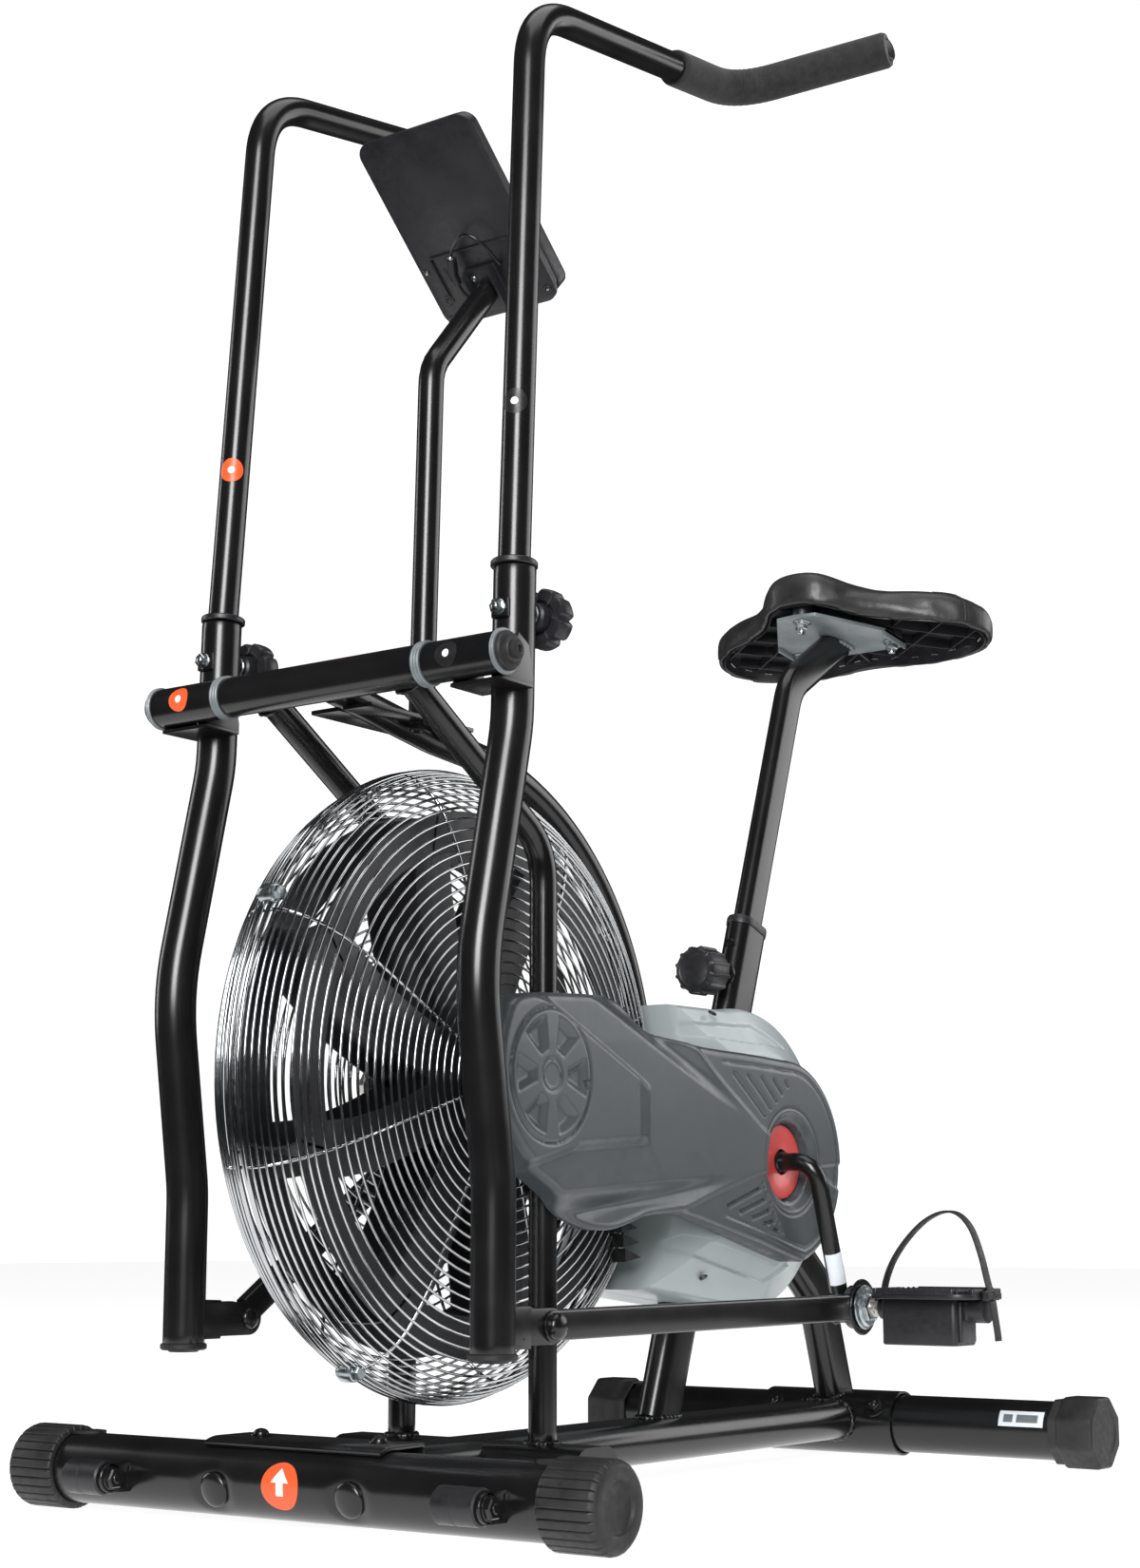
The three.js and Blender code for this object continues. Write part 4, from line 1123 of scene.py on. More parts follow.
def body_outline(inset):
    """Closed outline of the light casing, the same point count at any inset."""
    front = 274 + inset
    top = 438 - inset
    low = 176 + inset
    top_angle = 180 - math.degrees(math.asin((top - FAN.z) / front))
    low_angle = 180 + math.degrees(math.asin((FAN.z - low) / front))
    back = arc(BODY_X, BODY_Z, BODY_R - inset, 78, 262, 220)
    nose = arc(FAN.x, FAN.z, front, low_angle, top_angle, 120)
    bottom = [(lerp(back[-1][0], nose[0][0], i / 140), lerp(back[-1][1], nose[0][1], i / 140))
              for i in range(1, 140)]
    roof = [(lerp(nose[-1][0], back[0][0], i / 140), lerp(nose[-1][1], back[0][1], i / 140))
            for i in range(1, 140)]
    return back + bottom + nose + roof


SHOULDER_PANELS = (
    [(-402, 421), (-560, 426), (-618, 404), (-452, 408)],
    [(-396, 214), (-440, 226), (-606, 196), (-566, 178)],
)


def make_casing():
    levels = [(2.0, 0.15), (0.6, 0.5), (0, 1.6), (0, 26), (0, 50), (0.8, 55), (2.4, 59)]
    levels += [(lerp(3.5, 40, t), lerp(61, 84, t)) for t in np.linspace(0, 1, 44)]
    levels += [(43, 86), (46.5, 87.4), (50, BODY_HALF)]
    rings = [[Vector((x, y, z)) for x, z in body_outline(inset)] for inset, y in levels]
    normal = Vector((0, 0.84, 0.54))
    for row in rings[6:-3]:
        xs = np.array([p.x for p in row])
        zs = np.array([p.z for p in row])
        for panel in SHOULDER_PANELS:
            inside, _, _ = polygon_distance(panel, xs, zs)
            sunk = 3.0 * ease(inside, 2.4)
            for p, depth in zip(row, sunk):
                lift = 1 if p.z > BODY_Z else -1
                p.y -= normal.y * depth
                p.z -= normal.z * depth * lift
    shell = loft(rings)
    pair("casing_shell", [shell], "light", "frame", ["casing"], sharp=30)
    # Painted shade: black discs stand for the shaded screw holes and slots along the shoulders, and
    # black wedges for the shaded notches of the vent teeth beside the wheel.
    marks = []
    for x, z, y, lift in ((-489, 431, 70, 1), (-466, 187, 72, -1), (-640, 392, 66, 1),
                          (-600, 163, 58, -1)):
        aim = Vector((0, 0.5, 0.86 * lift))
        marks.append(disc(Vector((x, y, z)), aim, 4.2, 1.8, 0.4, 20))
    for k in range(3):
        x, z = lerp(-358, -372, k / 2), lerp(233, 207, k / 2)
        tooth = [(x + 16, z + 6), (x - 9, z - 2), (x + 16, z - 6)]
        marks.append(prism(tooth, 52 - 3 * k, 67 - 3 * k))
    pair("casing_painted_shade_marks", marks, "black_label", "frame")


COVER_OUTLINE = [
    (-96, 385), (-110, 416), (-150, 424), (-228, 428), (-278, 432), (-298, 427), (-326, 410),
    (-341, 402), (-395, 395), (-500, 391), *arc(-552, 293, 96, 88, 258, 40),
    (-386, 245), (-325, 242), (-301, 235), (-270, 228), (-240, 230), (-204, 243), (-189, 258),
    (-132, 284), (-102, 318), (-93, 352),
]
UPPER_CREASE = ((-224, 426), (-498, 321))
UPPER_FACET = ((-396, 392), (-498, 321))
LOWER_CREASE = ((-204, 263), (-498, 284))
LOWER_FACET = ((-380, 250), (-498, 284))
RAISED_PANEL = [(-70, 440), (-166, 421), (-324, 353), (-321, 303), (-203, 294), (-70, 260)]
EMBLEM = (-162.0, 355.0)
EMBLEM_R = 55.0
SCOOP_DEPTH = 16.0
PANEL_RISE = 9.0
WINDOW_DEPTH = 5.0
SLOT_DEPTH = 3.2
REAR_RISE = 7.0
EDGE_R = 7.0


def cover_height(xs, zs, edge):
    """The y of the cover's outer face at points of its side view; edge is their depth inside."""
    y = np.full(xs.shape, COVER_OUTER - 2.0)
    for crease, facet, turn in ((UPPER_CREASE, UPPER_FACET, -1), (LOWER_CREASE, LOWER_FACET, 1)):
        beyond = side_of_line(xs, zs, *crease) * turn
        short = -side_of_line(xs, zs, *facet) * turn
        y -= SCOOP_DEPTH * ease(beyond, 22) * ease(short, 34)
        y -= 2.0 * ease(beyond, 4) * ease(-short, 4)
    panel, _, _ = polygon_distance(RAISED_PANEL, xs, zs)
    ramp = np.clip((xs + 323) / 32, 0, 1)
    y += PANEL_RISE * np.clip(panel / 8, 0, 1) * ramp

    # Six-window wheel emblem, its groove, hub and screw hole.
    wheel = np.hypot(xs - EMBLEM[0], zs - EMBLEM[1])
    turn = np.arctan2(zs - EMBLEM[1], xs - EMBLEM[0])
    y += 1.2 * ease(EMBLEM_R - wheel, 2) - 1.8 * np.exp(-((wheel - EMBLEM_R - 1) / 1.2) ** 2)
    sector = (turn + math.pi / 6) % (math.pi / 3) - math.pi / 6
    along = wheel * np.cos(sector)
    across = np.abs(wheel * np.sin(sector))
    half = 5.5 + 0.40 * (along - 20)
    window = np.minimum(np.minimum(half - across, along - 21), 49.5 - wheel)
    y -= WINDOW_DEPTH * np.clip(window / 6.5, 0, 1)
    y -= 1.2 * np.exp(-((wheel - 13) / 1.1) ** 2) + 0.8 * ease(11.5 - wheel, 1.5)
    y -= WINDOW_DEPTH * ease(4.6 - np.hypot(xs + 213, zs - 350), 1.5)

    # Recess round the crank disc.
    shaft = np.hypot(xs - CRANK.x, zs - CRANK.z)
    y -= 6.0 * np.clip((47 - shaft) / 7.0, 0, 1) + 11.0 * ease(37.4 - shaft, 1.2)
    y -= 0.8 * np.exp(-((shaft - 50) / 1.2) ** 2)

    # Vent slots of both fields, and a dashed row beside the lower one.
    for first, last in (
        (((-459, 371), (-503, 335)), ((-543, 367), (-546, 364))),
        (((-447, 251), (-496, 268)), ((-519, 230), (-527, 228))),
    ):
        for k in range(5):
            a = (lerp(first[0][0], last[0][0], k / 4), lerp(first[0][1], last[0][1], k / 4))
            b = (lerp(first[1][0], last[1][0], k / 4), lerp(first[1][1], last[1][1], k / 4))
            y -= SLOT_DEPTH * ease(2.1 - segment_distance(xs, zs, a, b), 1.6)
    for k in range(6):
        a = (lerp(-500, -536, k / 5.6), lerp(272, 222, k / 5.6))
        b = (a[0] - 2.6, a[1] - 3.6)
        y -= 2.4 * ease(1.7 - segment_distance(xs, zs, a, b), 1.2)
    # The rear stands a little higher. A groove runs inside its rim, and the edge is rounded.
    y += REAR_RISE * ease(-420 - xs, 90)
    rear = ease(-438 - xs, 14)
    y -= 1.3 * rear * np.exp(-((edge - 11.5) / 1.0) ** 2)
    soft = np.clip(EDGE_R - edge, 0, EDGE_R)
    y -= EDGE_R - np.sqrt(EDGE_R ** 2 - soft ** 2)
    return np.maximum(y, COVER_INNER + 1.6)


def make_cover():
    outline = chaikin(COVER_OUTLINE)
    pitch = 1.4
    xs, zs = np.meshgrid(np.arange(-662, -86, pitch), np.arange(190, 440, pitch), indexing="ij")
    edge, near_x, near_z = polygon_distance(outline, xs, zs)
    inside = edge > 0
    keep = inside[:-1, :-1] | inside[1:, :-1] | inside[:-1, 1:] | inside[1:, 1:]
    used = np.zeros(xs.shape, bool)
    used[:-1, :-1] |= keep
    used[1:, :-1] |= keep
    used[:-1, 1:] |= keep
    used[1:, 1:] |= keep
    px = np.where(inside, xs, near_x)
    pz = np.where(inside, zs, near_z)
    height = cover_height(px, pz, np.maximum(edge, 0))
    number = -np.ones(xs.shape, int)
    number[used] = np.arange(used.sum())
    points = [Vector((px[i, j], height[i, j], pz[i, j])) for i, j in np.argwhere(used)]
    faces = []
    for i, j in np.argwhere(keep):
        faces.append((number[i, j], number[i, j + 1], number[i + 1, j + 1], number[i + 1, j]))

    build = bmesh.new()
    verts = [build.verts.new(p) for p in points]
    for face in faces:
        build.faces.new([verts[k] for k in face])
    bmesh.ops.remove_doubles(build, verts=build.verts, dist=0.02)
    rim = [e for e in build.edges if len(e.link_faces) == 1]
    grown = bmesh.ops.extrude_edge_only(build, edges=rim)["geom"]
    for item in grown:
        if isinstance(item, bmesh.types.BMVert):
            item.co.y = COVER_INNER
    lower = [e for e in grown if isinstance(e, bmesh.types.BMEdge)]
    bmesh.ops.holes_fill(build, edges=lower, sides=0)
    build.verts.index_update()
    shell = ([v.co.copy() for v in build.verts],
             [[v.index for v in f.verts] for f in build.faces])
    build.free()
    piece("chain_cover_shell", [shell], "dark", "frame", ["chain_cover"], sharp=50)


# ---- swinging arms --------------------------------------------------------------------------------
def make_arms():
    path = rounded([
        [-55, ARM_Y, ARM_TOP], [-52, ARM_Y, 628, 150], [-7, ARM_Y, 425, 220],
        [-31, ARM_Y, 262, 160], [-31, ARM_Y, 134],
    ], 16)
    arm = tube(resample(path, 9), ARM_R, 40)
    sleeve = ring(at_y(PIVOT, SLEEVE_Y), ACROSS, 8, PIVOT_R, SLEEVE_LENGTH, 0.9, 48)
    pair("arm_tube", [arm, sleeve], "paint", "arm", ["arm"])
    cheek = [(-10, 656), (-50, 656), (-50, 663), (-44, 688), (-30, 696)]
    web = [
        prism(cheek, 183, 186.2), prism(cheek, 134, 137.2),
        block((-50, 134, 653.5), (-8, 186.2, 657)),
    ]
    tongue = [(-31, 141), (-31, 169)] + arc(LOWER_PIN.x, LOWER_PIN.z, 14, 90, 270, 16)
    clevis = [
        prism(tongue, 147, 152.3), prism(tongue, 167.7, 173.5),
        block((-60, 148, 139), (-30, 178, 171)),
    ]
    pair("arm_brackets", web + clevis, "paint", "arm", bevel=1.0)
    beads = [weld(circle((-40, ARM_Y, 693), (0, 0.25, 1), ARM_R + 0.4), 1.7, 1),
             weld([Vector((-50.5, y, z)) for y, z in ((150, 141), (176, 141), (176, 169), (150, 169))],
                  1.8, 4)]
    pair("arm_welds", beads, "paint", "arm", sharp=80)
    y1 = SLEEVE_Y + SLEEVE_LENGTH
    end = [
        ring(at_y(PIVOT, y1 - 1.5 + 2.1 * k), ACROSS, 9, PIVOT_R + 1.6, 1.9, 0.7, 48)
        for k in range(2)
    ]
    pair("arm_end_washer", end, "plate", "arm")
    boot = lathe(at_y(PIVOT, y1 + 2.4), ACROSS,
                 [(0, 0), (16, 0), (16.2, 2), (15, 4.2), (11.6, 5), (11, 5.4), (11, 8), (10.2, 9.2),
                  (7.6, 9.6), (7.2, 12), (5.6, 13.2), (3.4, 13.4), (3.0, 11.5), (0, 11.5)], 40)
    pair("arm_end_boot", [boot], "rubber", "arm")
    plug = lathe((-31, ARM_Y, 136), (0, 0, -1),
                 [(0, 0), (18.4, 0), (19.4, 1), (19.4, 4), (18, 5.4), (13, 5.8), (12, 7), (0, 7)], 48)
    pair("arm_bottom_plug", [plug], "rubber", "arm")
    pin = [
        disc(at_y(LOWER_PIN, 146), ACROSS, 6, 30, 0.8, 32),
        disc(at_y(LOWER_PIN, 173.5), ACROSS, 12.5, 2.4, 0.8, 40),
        dome(at_y(LOWER_PIN, 175.8), ACROSS, 10.5, 6.0, 3.0, 32),
        dome(at_y(LOWER_PIN, 147.2), (0, -1, 0), 9, 4.0, 1.0, 32),
    ]
    pair("arm_lower_bolt", pin, "paint", "arm")
    screw_aim = Vector(AHEAD)
    face = Vector((-37.5, ARM_Y, 720))
    pad = block((-44, ARM_Y - 8, 712), (-33.5, ARM_Y + 8, 728))
    pair("arm_screw_pad", [pad], "paint", "arm", bevel=1.2)
    screw = [
        ring(face + screw_aim * 3.6, screw_aim, 3, 7, 2.0, 0.6, 32),
        hex_head(face + screw_aim * 5.4, screw_aim, 10.5, 4.6),
        dome(face + screw_aim * 9.6, screw_aim, 3.4, 2.0, sides=20),
    ]
    pair("arm_socket_screw", screw, "zinc", "arm", sharp=25)


def handle_path():
    corners = [[-55, 162, ARM_TOP + 2], [-85, 155, 1262, 68], [-424, 148, 1318, 52],
               [-459, 299, 1333]]
    return rounded(corners, 22)


def make_handles():
    path = resample(handle_path(), 4)
    grip_from = next(i for i, p in enumerate(path) if p.x < -312)
    bar = tube(path[:grip_from + 2], HANDLE_R, 36, 0.6)
    pair("handlebar_tube", [bar], "paint", "arm", ["handlebar"])
    collar = lathe((-55.1, 162, ARM_TOP + 0.6), (-0.06, -0.014, 1),
                   [(14, 0), (18.4, 0), (19.4, 0.8), (19.4, 4.2), (18.6, 5.2), (17.4, 5.6),
                    (15.2, 6.2), (14, 6.0)], 48)
    pair("handle_collar_ring", [collar], "plastic", "arm", ["collar"])

    route = resample(path[grip_from:], 1.2)
    points, faces = sweep(route, round_section(GRIP_R, 56))
    bend = next(i for i, p in enumerate(route) if p.y > 170)
    for i, centre in enumerate(route):
        share = math.exp(-(((i - bend + 14) * 1.2) / 32) ** 2)
        for k in range(56):
            p = points[i * 56 + k]
            out = (p - centre).normalized()
            inner = 0.5 + 0.5 * max(0.0, out.dot(Vector((0.7, 0.6, 0.1))))
            wave = math.sin(i * 1.35 + 1.6 * noise.noise(Vector((k * 0.16, i * 0.05, 3))))
            rough = noise.noise(Vector((k * 0.32, i * 0.5, 9)))
            size = 1 + 0.016 * share * inner * (wave + 0.7 * rough)
            if i < 3:
                size *= 1.0 - 0.02 * (3 - i)
            if i > len(route) - 4:
                size *= 1 - 0.03 * (i - len(route) + 4)
            points[i * 56 + k] = centre + (p - centre) * size
    grip = (points, faces)
    pair("grip_foam", [grip], "foam", "arm", ["grip"], sharp=55)
    tip = route[-1]
    aim = (route[-1] - route[-2]).normalized()
    cap = lathe(tip - aim * 1.0, aim, [(0, 0), (11.5, 0), (11.5, 1.5), (10.8, 2.2), (9, 2.4),
                                       (8, 1.8), (0, 1.6)], 40)
    pair("grip_end_plug", [cap], "plastic", "arm")


def make_rods():
    for side, s in SIDES.items():
        pin = PIN[side]
        y = ROD_Y * s
        a = at_y(LOWER_PIN, y)
        b = at_y(pin, y)
        bar = sweep([a.lerp(b, t) for t in np.linspace(0.02, 0.97, 24)],
                    box_section(11.6, 24, 2.4, 4), ACROSS)
        y0 = ROD_INNER if s > 0 else -ROD_OUTER
        eye = ring(at_y(pin, y0), ACROSS, 10, 20, 14, 1.6, 48)
        flange = ring(at_y(pin, y0 + (11 if s > 0 else 0.4)), ACROSS, 10, 26, 2.6, 1.0, 48)
        nose = ring(at_y(LOWER_PIN, y0 + 0.4), ACROSS, 6.3, 13, 13.2, 1.2, 40)
        screws = []
        for k in range(3):
            angle = 2.1 * k + 0.6
            spot = around(pin, 15.6, angle, y0 + (13 if s > 0 else 1.0))
            screws.append(dome(spot, (0, s, 0), 2.2, 1.2, sides=16))
        piece(f"rod_{side}_bar", [bar, eye, flange, nose, *screws], "paint", f"rod_{side}",
              [f"rod_{side}"])


# ---- pedals -----------------------------------------------------------------------------------------
def make_pedals():
    floor = plan_plate(-42, 42, 190, 296, 20, 9, 14)
    rim = [
        plan_plate(-42, -37, 204, 282, 2, 12, 19), plan_plate(37, 42, 204, 282, 2, 12, 19),
        plan_plate(-28, 28, 290, 296, 2, 12, 18.5), plan_plate(-26, 26, 190, 195, 2, 12, 18.5),
    ]
    bars = [plan_plate(-35, 35, y, y + 4.6, 1.6, 12, 18) for y in range(202, 284, 11)]
    studs = [
        dome((x, y, 17.6), UP, 1.5, 1.4, sides=10)
        for y in range(204, 284, 11) for x in range(-30, 31, 10)
    ]
    deck = [floor, *rim, *bars, *studs]
    weight = plan_plate(-20, 22, 197, 274, 5, -33, 9, 2.0)
    hooks = [plan_plate(-14, 16, 272, 277, 2.5, -30, 7, 1.0),
             plan_plate(-10, 12, 276, 281, 2.2, -10, 7, 1.0)]
    ears = [block((-14, 186, 6), (14, 190.5, 17)), block((-14, 297, 8), (14, 301, 17)),
            disc((0, 301, 12), ACROSS, 4, 3, 0.8, 20)]
    boss = lathe((0, 0, 0), ACROSS,
                 [(0, 186), (9.4, 186), (10.6, 187), (10.6, 190), (12.4, 191), (12.4, 296),
                  (0, 296)], 36)
    washers = [
        ring((0, 167.4, 0), ACROSS, 8, 20.5, 2.2, 0.7, 56),
        ring((0, 169.7, 0), ACROSS, 8, 18, 3.6, 1.6, 56),
        hex_head((0, 173.2, 0), ACROSS, 24, 4.5),
    ]
    spindle = lathe((0, 0, 0), ACROSS,
                    [(0, 167.5), (8.8, 167.5), (8.8, 181), (8.0, 182), (8.0, 184), (8.8, 185),
                     (8.8, 188), (0, 188)], 40)
    knots = [(189.4, 8), (190.6, 22), (199, 42), (214, 62), (233, 79), (252, 87.5), (268, 86),
             (281, 73), (290, 50), (296, 26), (300.6, 8), (303, -8), (305, -22), (305.4, -28)]
    route = resample(catmull([Vector((0, y, z)) for y, z in knots], 8), 3)
    band = sweep(route, box_section(11, 2.2, 0.9, 3), AHEAD)
    buckle = [block((-13, 298.6, 9), (13, 303.6, 15))]
    for side, s in SIDES.items():
        pin = PIN[side]

        def place(shells):
            made = shells if s > 0 else [mirrored(shell) for shell in shells]
            shift = at_y(pin, 0)
            return [moved(shell, lambda p: p + shift) for shell in made]

        body = f"pedal_{side}"
        piece(f"pedal_{side}_deck", place(deck + [boss]), "plastic", body,
              [body], sharp=40)
        piece(f"pedal_{side}_weight", place([weight, *hooks]), "plastic", body)
        piece(f"pedal_{side}_ears", place(ears + buckle), "plastic", body,
              bevel=0.8)
        piece(f"pedal_{side}_washers", place(washers), "zinc", body, sharp=28)
        piece(f"pedal_{side}_spindle", place([spindle]), "steel", body)
        piece(f"pedal_{side}_strap", place([band]), "rubber", body,
              [f"pedal_strap_{side}"])


# ---- knobs -------------------------------------------------------------------------------------------
def make_knobs():
    def star(angle, radius, height):
        if radius < 17:
            return radius
        turn = (angle * 7 / (2 * math.pi)) % 1.0 - 0.5
        return radius - 4.6 * math.exp(-((turn / 0.115) ** 2))

    head = lathe((ARM_KNOB_X - 13, ARM_Y, ARM_KNOB_Z), (-1, 0, 0),
                 [(0, 3), (13, 3), (15, 0.6), (18, 0), (23.4, 0.8), (25, 3), (25.4, 9), (25, 15),
                  (23, 18.6), (19, 20.2), (13, 20.6), (0, 20.6)], 168, star)
    neck = lathe((ARM_KNOB_X, ARM_Y, ARM_KNOB_Z), (-1, 0, 0),
                 [(0, 4.4), (9.5, 4.4), (11.5, 6), (12.5, 18), (0, 18)], 40)
    washer = [ring((ARM_KNOB_X, ARM_Y, ARM_KNOB_Z), (-1, 0, 0), 4, 9.6, 2.2, 0.8, 36),
              disc((ARM_KNOB_X, ARM_Y, ARM_KNOB_Z), (-1, 0, 0), 6.5, 5.5, 0.8, 32)]
    pair("arm_knob_star", [head, neck], "plastic", "arm_knob", ["arm_knob"])
    pair("arm_knob_washer", washer, "zinc", "arm_knob")

    front = seat_axis(SEAT_KNOB_Z).x + 27

    def ribbed(angle, radius, height):
        if radius < 21:
            return radius
        turn = (angle * 12 / (2 * math.pi)) % 1.0
        return radius - 1.9 * (1 - smooth_step((abs(turn - 0.5) - 0.30) / 0.12))

    grip = lathe((front + 22, 0, SEAT_KNOB_Z), AHEAD,
                 [(0, 4), (15, 4), (16.5, 0.5), (19, 0), (23.4, 1), (24.4, 3), (24.6, 28),
                  (23.6, 31.6), (20.5, 33.4), (17, 34), (15.5, 33), (0, 33)], 192, ribbed)
    stem = lathe((front + 10, 0, SEAT_KNOB_Z), AHEAD,
                 [(0, 0), (8.6, 0), (11.5, 3), (12, 16), (0, 16)], 40)
    piece("seat_knob_grip", [grip, stem], "plastic", "seat_knob", ["seat_knob"])
    plunger = lathe((front + 4, 0, SEAT_KNOB_Z), AHEAD,
                    [(0, 0), (9, 0), (10, 1), (10, 5), (8, 6), (8, 9), (0, 9)], 40)
    piece("seat_knob_plunger", [plunger], "zinc", "seat_knob")


# ---- seat ----------------------------------------------------------------------------------------
SEAT_MIDDLE = Vector((-868.0, 0.0, 0.0))
SEAT_HALF = [
    (-748, 0), (-752, 26), (-768, 44), (-792, 62), (-818, 92), (-842, 130), (-872, 158),
    (-908, 168), (-944, 156), (-970, 122), (-980, 76), (-976, 36), (-970, 0),
]
SEAT_DRAWN_REAR = -980.0
SEAT_REAR = -962.0
SEAT_LENGTH_SCALE = 0.87
SEAT_WIDTH_SCALE = 1.03
SEAT_TILT = 0.18
SEAT_DROP = 6.0
SEAT_CROWN = 12.0
PLATE_LOW = Vector((-905.0, 0.0, 869.5))
PLATE_HIGH = Vector((-775.0, 0.0, 884.5))


def seat_outline(steps=9):
    """Closed smooth outline of the saddle seen from above."""
    half = [Vector((SEAT_REAR + SEAT_LENGTH_SCALE * (x - SEAT_DRAWN_REAR), y * SEAT_WIDTH_SCALE, 0))
            for x, y in SEAT_HALF]
    loop = half + [Vector((p.x, -p.y, 0)) for p in reversed(half[1:-1])]
    n = len(loop)
    path = []
    for k in range(n):
        p0, p1, p2, p3 = (loop[(k + i - 1) % n] for i in range(4))
        path += [spline_point(p0, p1, p2, p3, i / steps) for i in range(steps)]
    return path


SEAT_OUTLINE = seat_outline()


def seat_lift(x, y, share):
    """Rise of the saddle's levels: it tilts back and crowns along the middle towards the nose."""
    crown = SEAT_CROWN * math.exp(-((y / 66) ** 2)) * ((x - SEAT_REAR) / 206)
    return SEAT_TILT * (x - SEAT_MIDDLE.x) - SEAT_DROP + share * crown


def seat_ring(height, inset, share):
    row = []
    for p in SEAT_OUTLINE:
        span = (p - SEAT_MIDDLE).length
        spot = SEAT_MIDDLE.lerp(p, (span - inset) / span)
        row.append(Vector((spot.x, spot.y, height + seat_lift(spot.x, spot.y, share))))
    return row


def seat_inset(x, y):
    """How far inside the outline a point is, measured towards the middle."""
    offset = Vector((x, y, 0)) - SEAT_MIDDLE
    angle = math.atan2(offset.y, offset.x)
    best = min(SEAT_OUTLINE, key=lambda p: abs(
        (math.atan2(p.y, p.x - SEAT_MIDDLE.x) - angle + math.pi) % (2 * math.pi) - math.pi))
    return (best - SEAT_MIDDLE).length - offset.length


FILL_VOXEL = 0.005
FILL_STEPS = 20


def puff(obj, cap, pinned):
    """Fill a cushion by cloth simulation: it swells at most cap metres where not pinned."""
    bpy.context.view_layer.objects.active = obj
    obj.data.remesh_voxel_size = FILL_VOXEL
    with bpy.context.temp_override(object=obj, active_object=obj):
        bpy.ops.object.voxel_remesh()
    start = [v.co.copy() for v in obj.data.vertices]
    held = obj.vertex_groups.new(name="held")
    fixed = [i for i, p in enumerate(start) if pinned(p)]
    held.add(fixed, 1.0, "REPLACE")
    cloth = obj.modifiers.new("fill", "CLOTH")
    cloth.settings.use_pressure = True
    cloth.settings.uniform_pressure_force = 4.0
    cloth.settings.effector_weights.gravity = 0.0
    cloth.settings.vertex_group_mass = "held"
    cloth.settings.quality = 4
    cloth.point_cache.frame_start = 1
    cloth.point_cache.frame_end = FILL_STEPS
    for number in range(1, FILL_STEPS + 1):
        bpy.context.scene.frame_set(number)
    depsgraph = bpy.context.evaluated_depsgraph_get()
    swollen = [v.co.copy() for v in obj.evaluated_get(depsgraph).data.vertices]
    obj.modifiers.remove(cloth)
    obj.vertex_groups.remove(held)
    bpy.context.scene.frame_set(1)
    for vertex, before, after in zip(obj.data.vertices, start, swollen):
        move = after - before
        if move.length > cap:
            move *= cap / move.length
        vertex.co = before + move
    build = bmesh.new()
    build.from_mesh(obj.data)
    for _ in range(3):
        bmesh.ops.smooth_vert(build, verts=build.verts, factor=0.5, use_axis_x=True,
                              use_axis_y=True, use_axis_z=True)
    bmesh.ops.subdivide_edges(build, edges=build.edges, cuts=1, use_grid_fill=True, smooth=0.6)
    build.to_mesh(obj.data)
    build.free()
    obj.data.shade_smooth()


def make_seams(cushion):
    """Stitched seams on the leather, at the side and at the back of each lobe."""
    verts = [layout(*v.co) for v in cushion.data.vertices]
    surface = BVHTree.FromPolygons(verts, [p.vertices[:] for p in cushion.data.polygons])
    seams = []
    stitches = []
    for s in (1, -1):
        for x, y in ((-867, 158), (-946, 92)):
            line = []
            for height in np.linspace(884, 921, 24):
                start = Vector((x, s * y, 0))
                start += (start - SEAT_MIDDLE).normalized() * 40
                start.z = height + seat_lift(x, s * y, 0.8)
                aim = Vector((SEAT_MIDDLE.x, 0, start.z)) - start
                hit, normal, _, _ = surface.ray_cast(start, aim.normalized(), 90)
                if hit is not None:
                    line.append((hit, normal if normal.dot(aim) < 0 else -normal))
            if len(line) < 4:
                continue
            cord = [hit + out * 0.1 for hit, out in line]
            seams.append(sweep(cord, round_section(1.3, 8), AHEAD))
            for hit, out in line[1:-1:2]:
                along = out.cross(Vector(UP)).normalized()
                for shift in (-3.2, 3.2):
                    middle = hit + along * shift + out * 0.35
                    half = Vector((0, 0, 1.1))
                    stitches.append(sweep([middle - half, middle + half], round_section(0.4, 6),
                                          AHEAD))
    piece("saddle_seams", seams, "rubber", "seat", slot="leather")
    piece("saddle_stitches", stitches, "rubber", "seat", slot="leather")


def make_cushion():
    levels = [
        (905, 60, 0.9), (903, 30, 0.9), (899, 17, 0.8), (890, 12.5, 0.7), (881, 10.5, 0.6),
        (878.6, 8.5, 0.6), (878.8, 6, 0.6), (881, 4.2, 0.62), (888, 3.2, 0.7), (897, 3, 0.8),
        (904, 4, 0.9), (909, 7, 1), (913, 12, 1), (916, 20, 1), (919, 32, 1), (921, 48, 1),
        (922, 64, 1),
    ]
    shell = loft([seat_ring(*level) for level in levels])
    cushion = piece("saddle_cushion", [shell], "leather", "seat", ["seat_cushion"])
    def pinned(co):
        p = layout(*co)
        above = p.z - seat_lift(p.x, p.y, 0.75)
        return above < 882.5 or (above < 908 and seat_inset(p.x, p.y) > 9.5)

    puff(cushion, 0.005, pinned)
    cushion.data.set_sharp_from_angle(angle=math.radians(60))
    make_seams(cushion)


def strip_runs(points, keep):
    """Consecutive stretches of points that pass a test."""
    runs = [[]]
    for point in points:
        if keep(point):
            runs[-1].append(point)
        elif runs[-1]:
            runs.append([])
    return [run for run in runs if len(run) > 2]


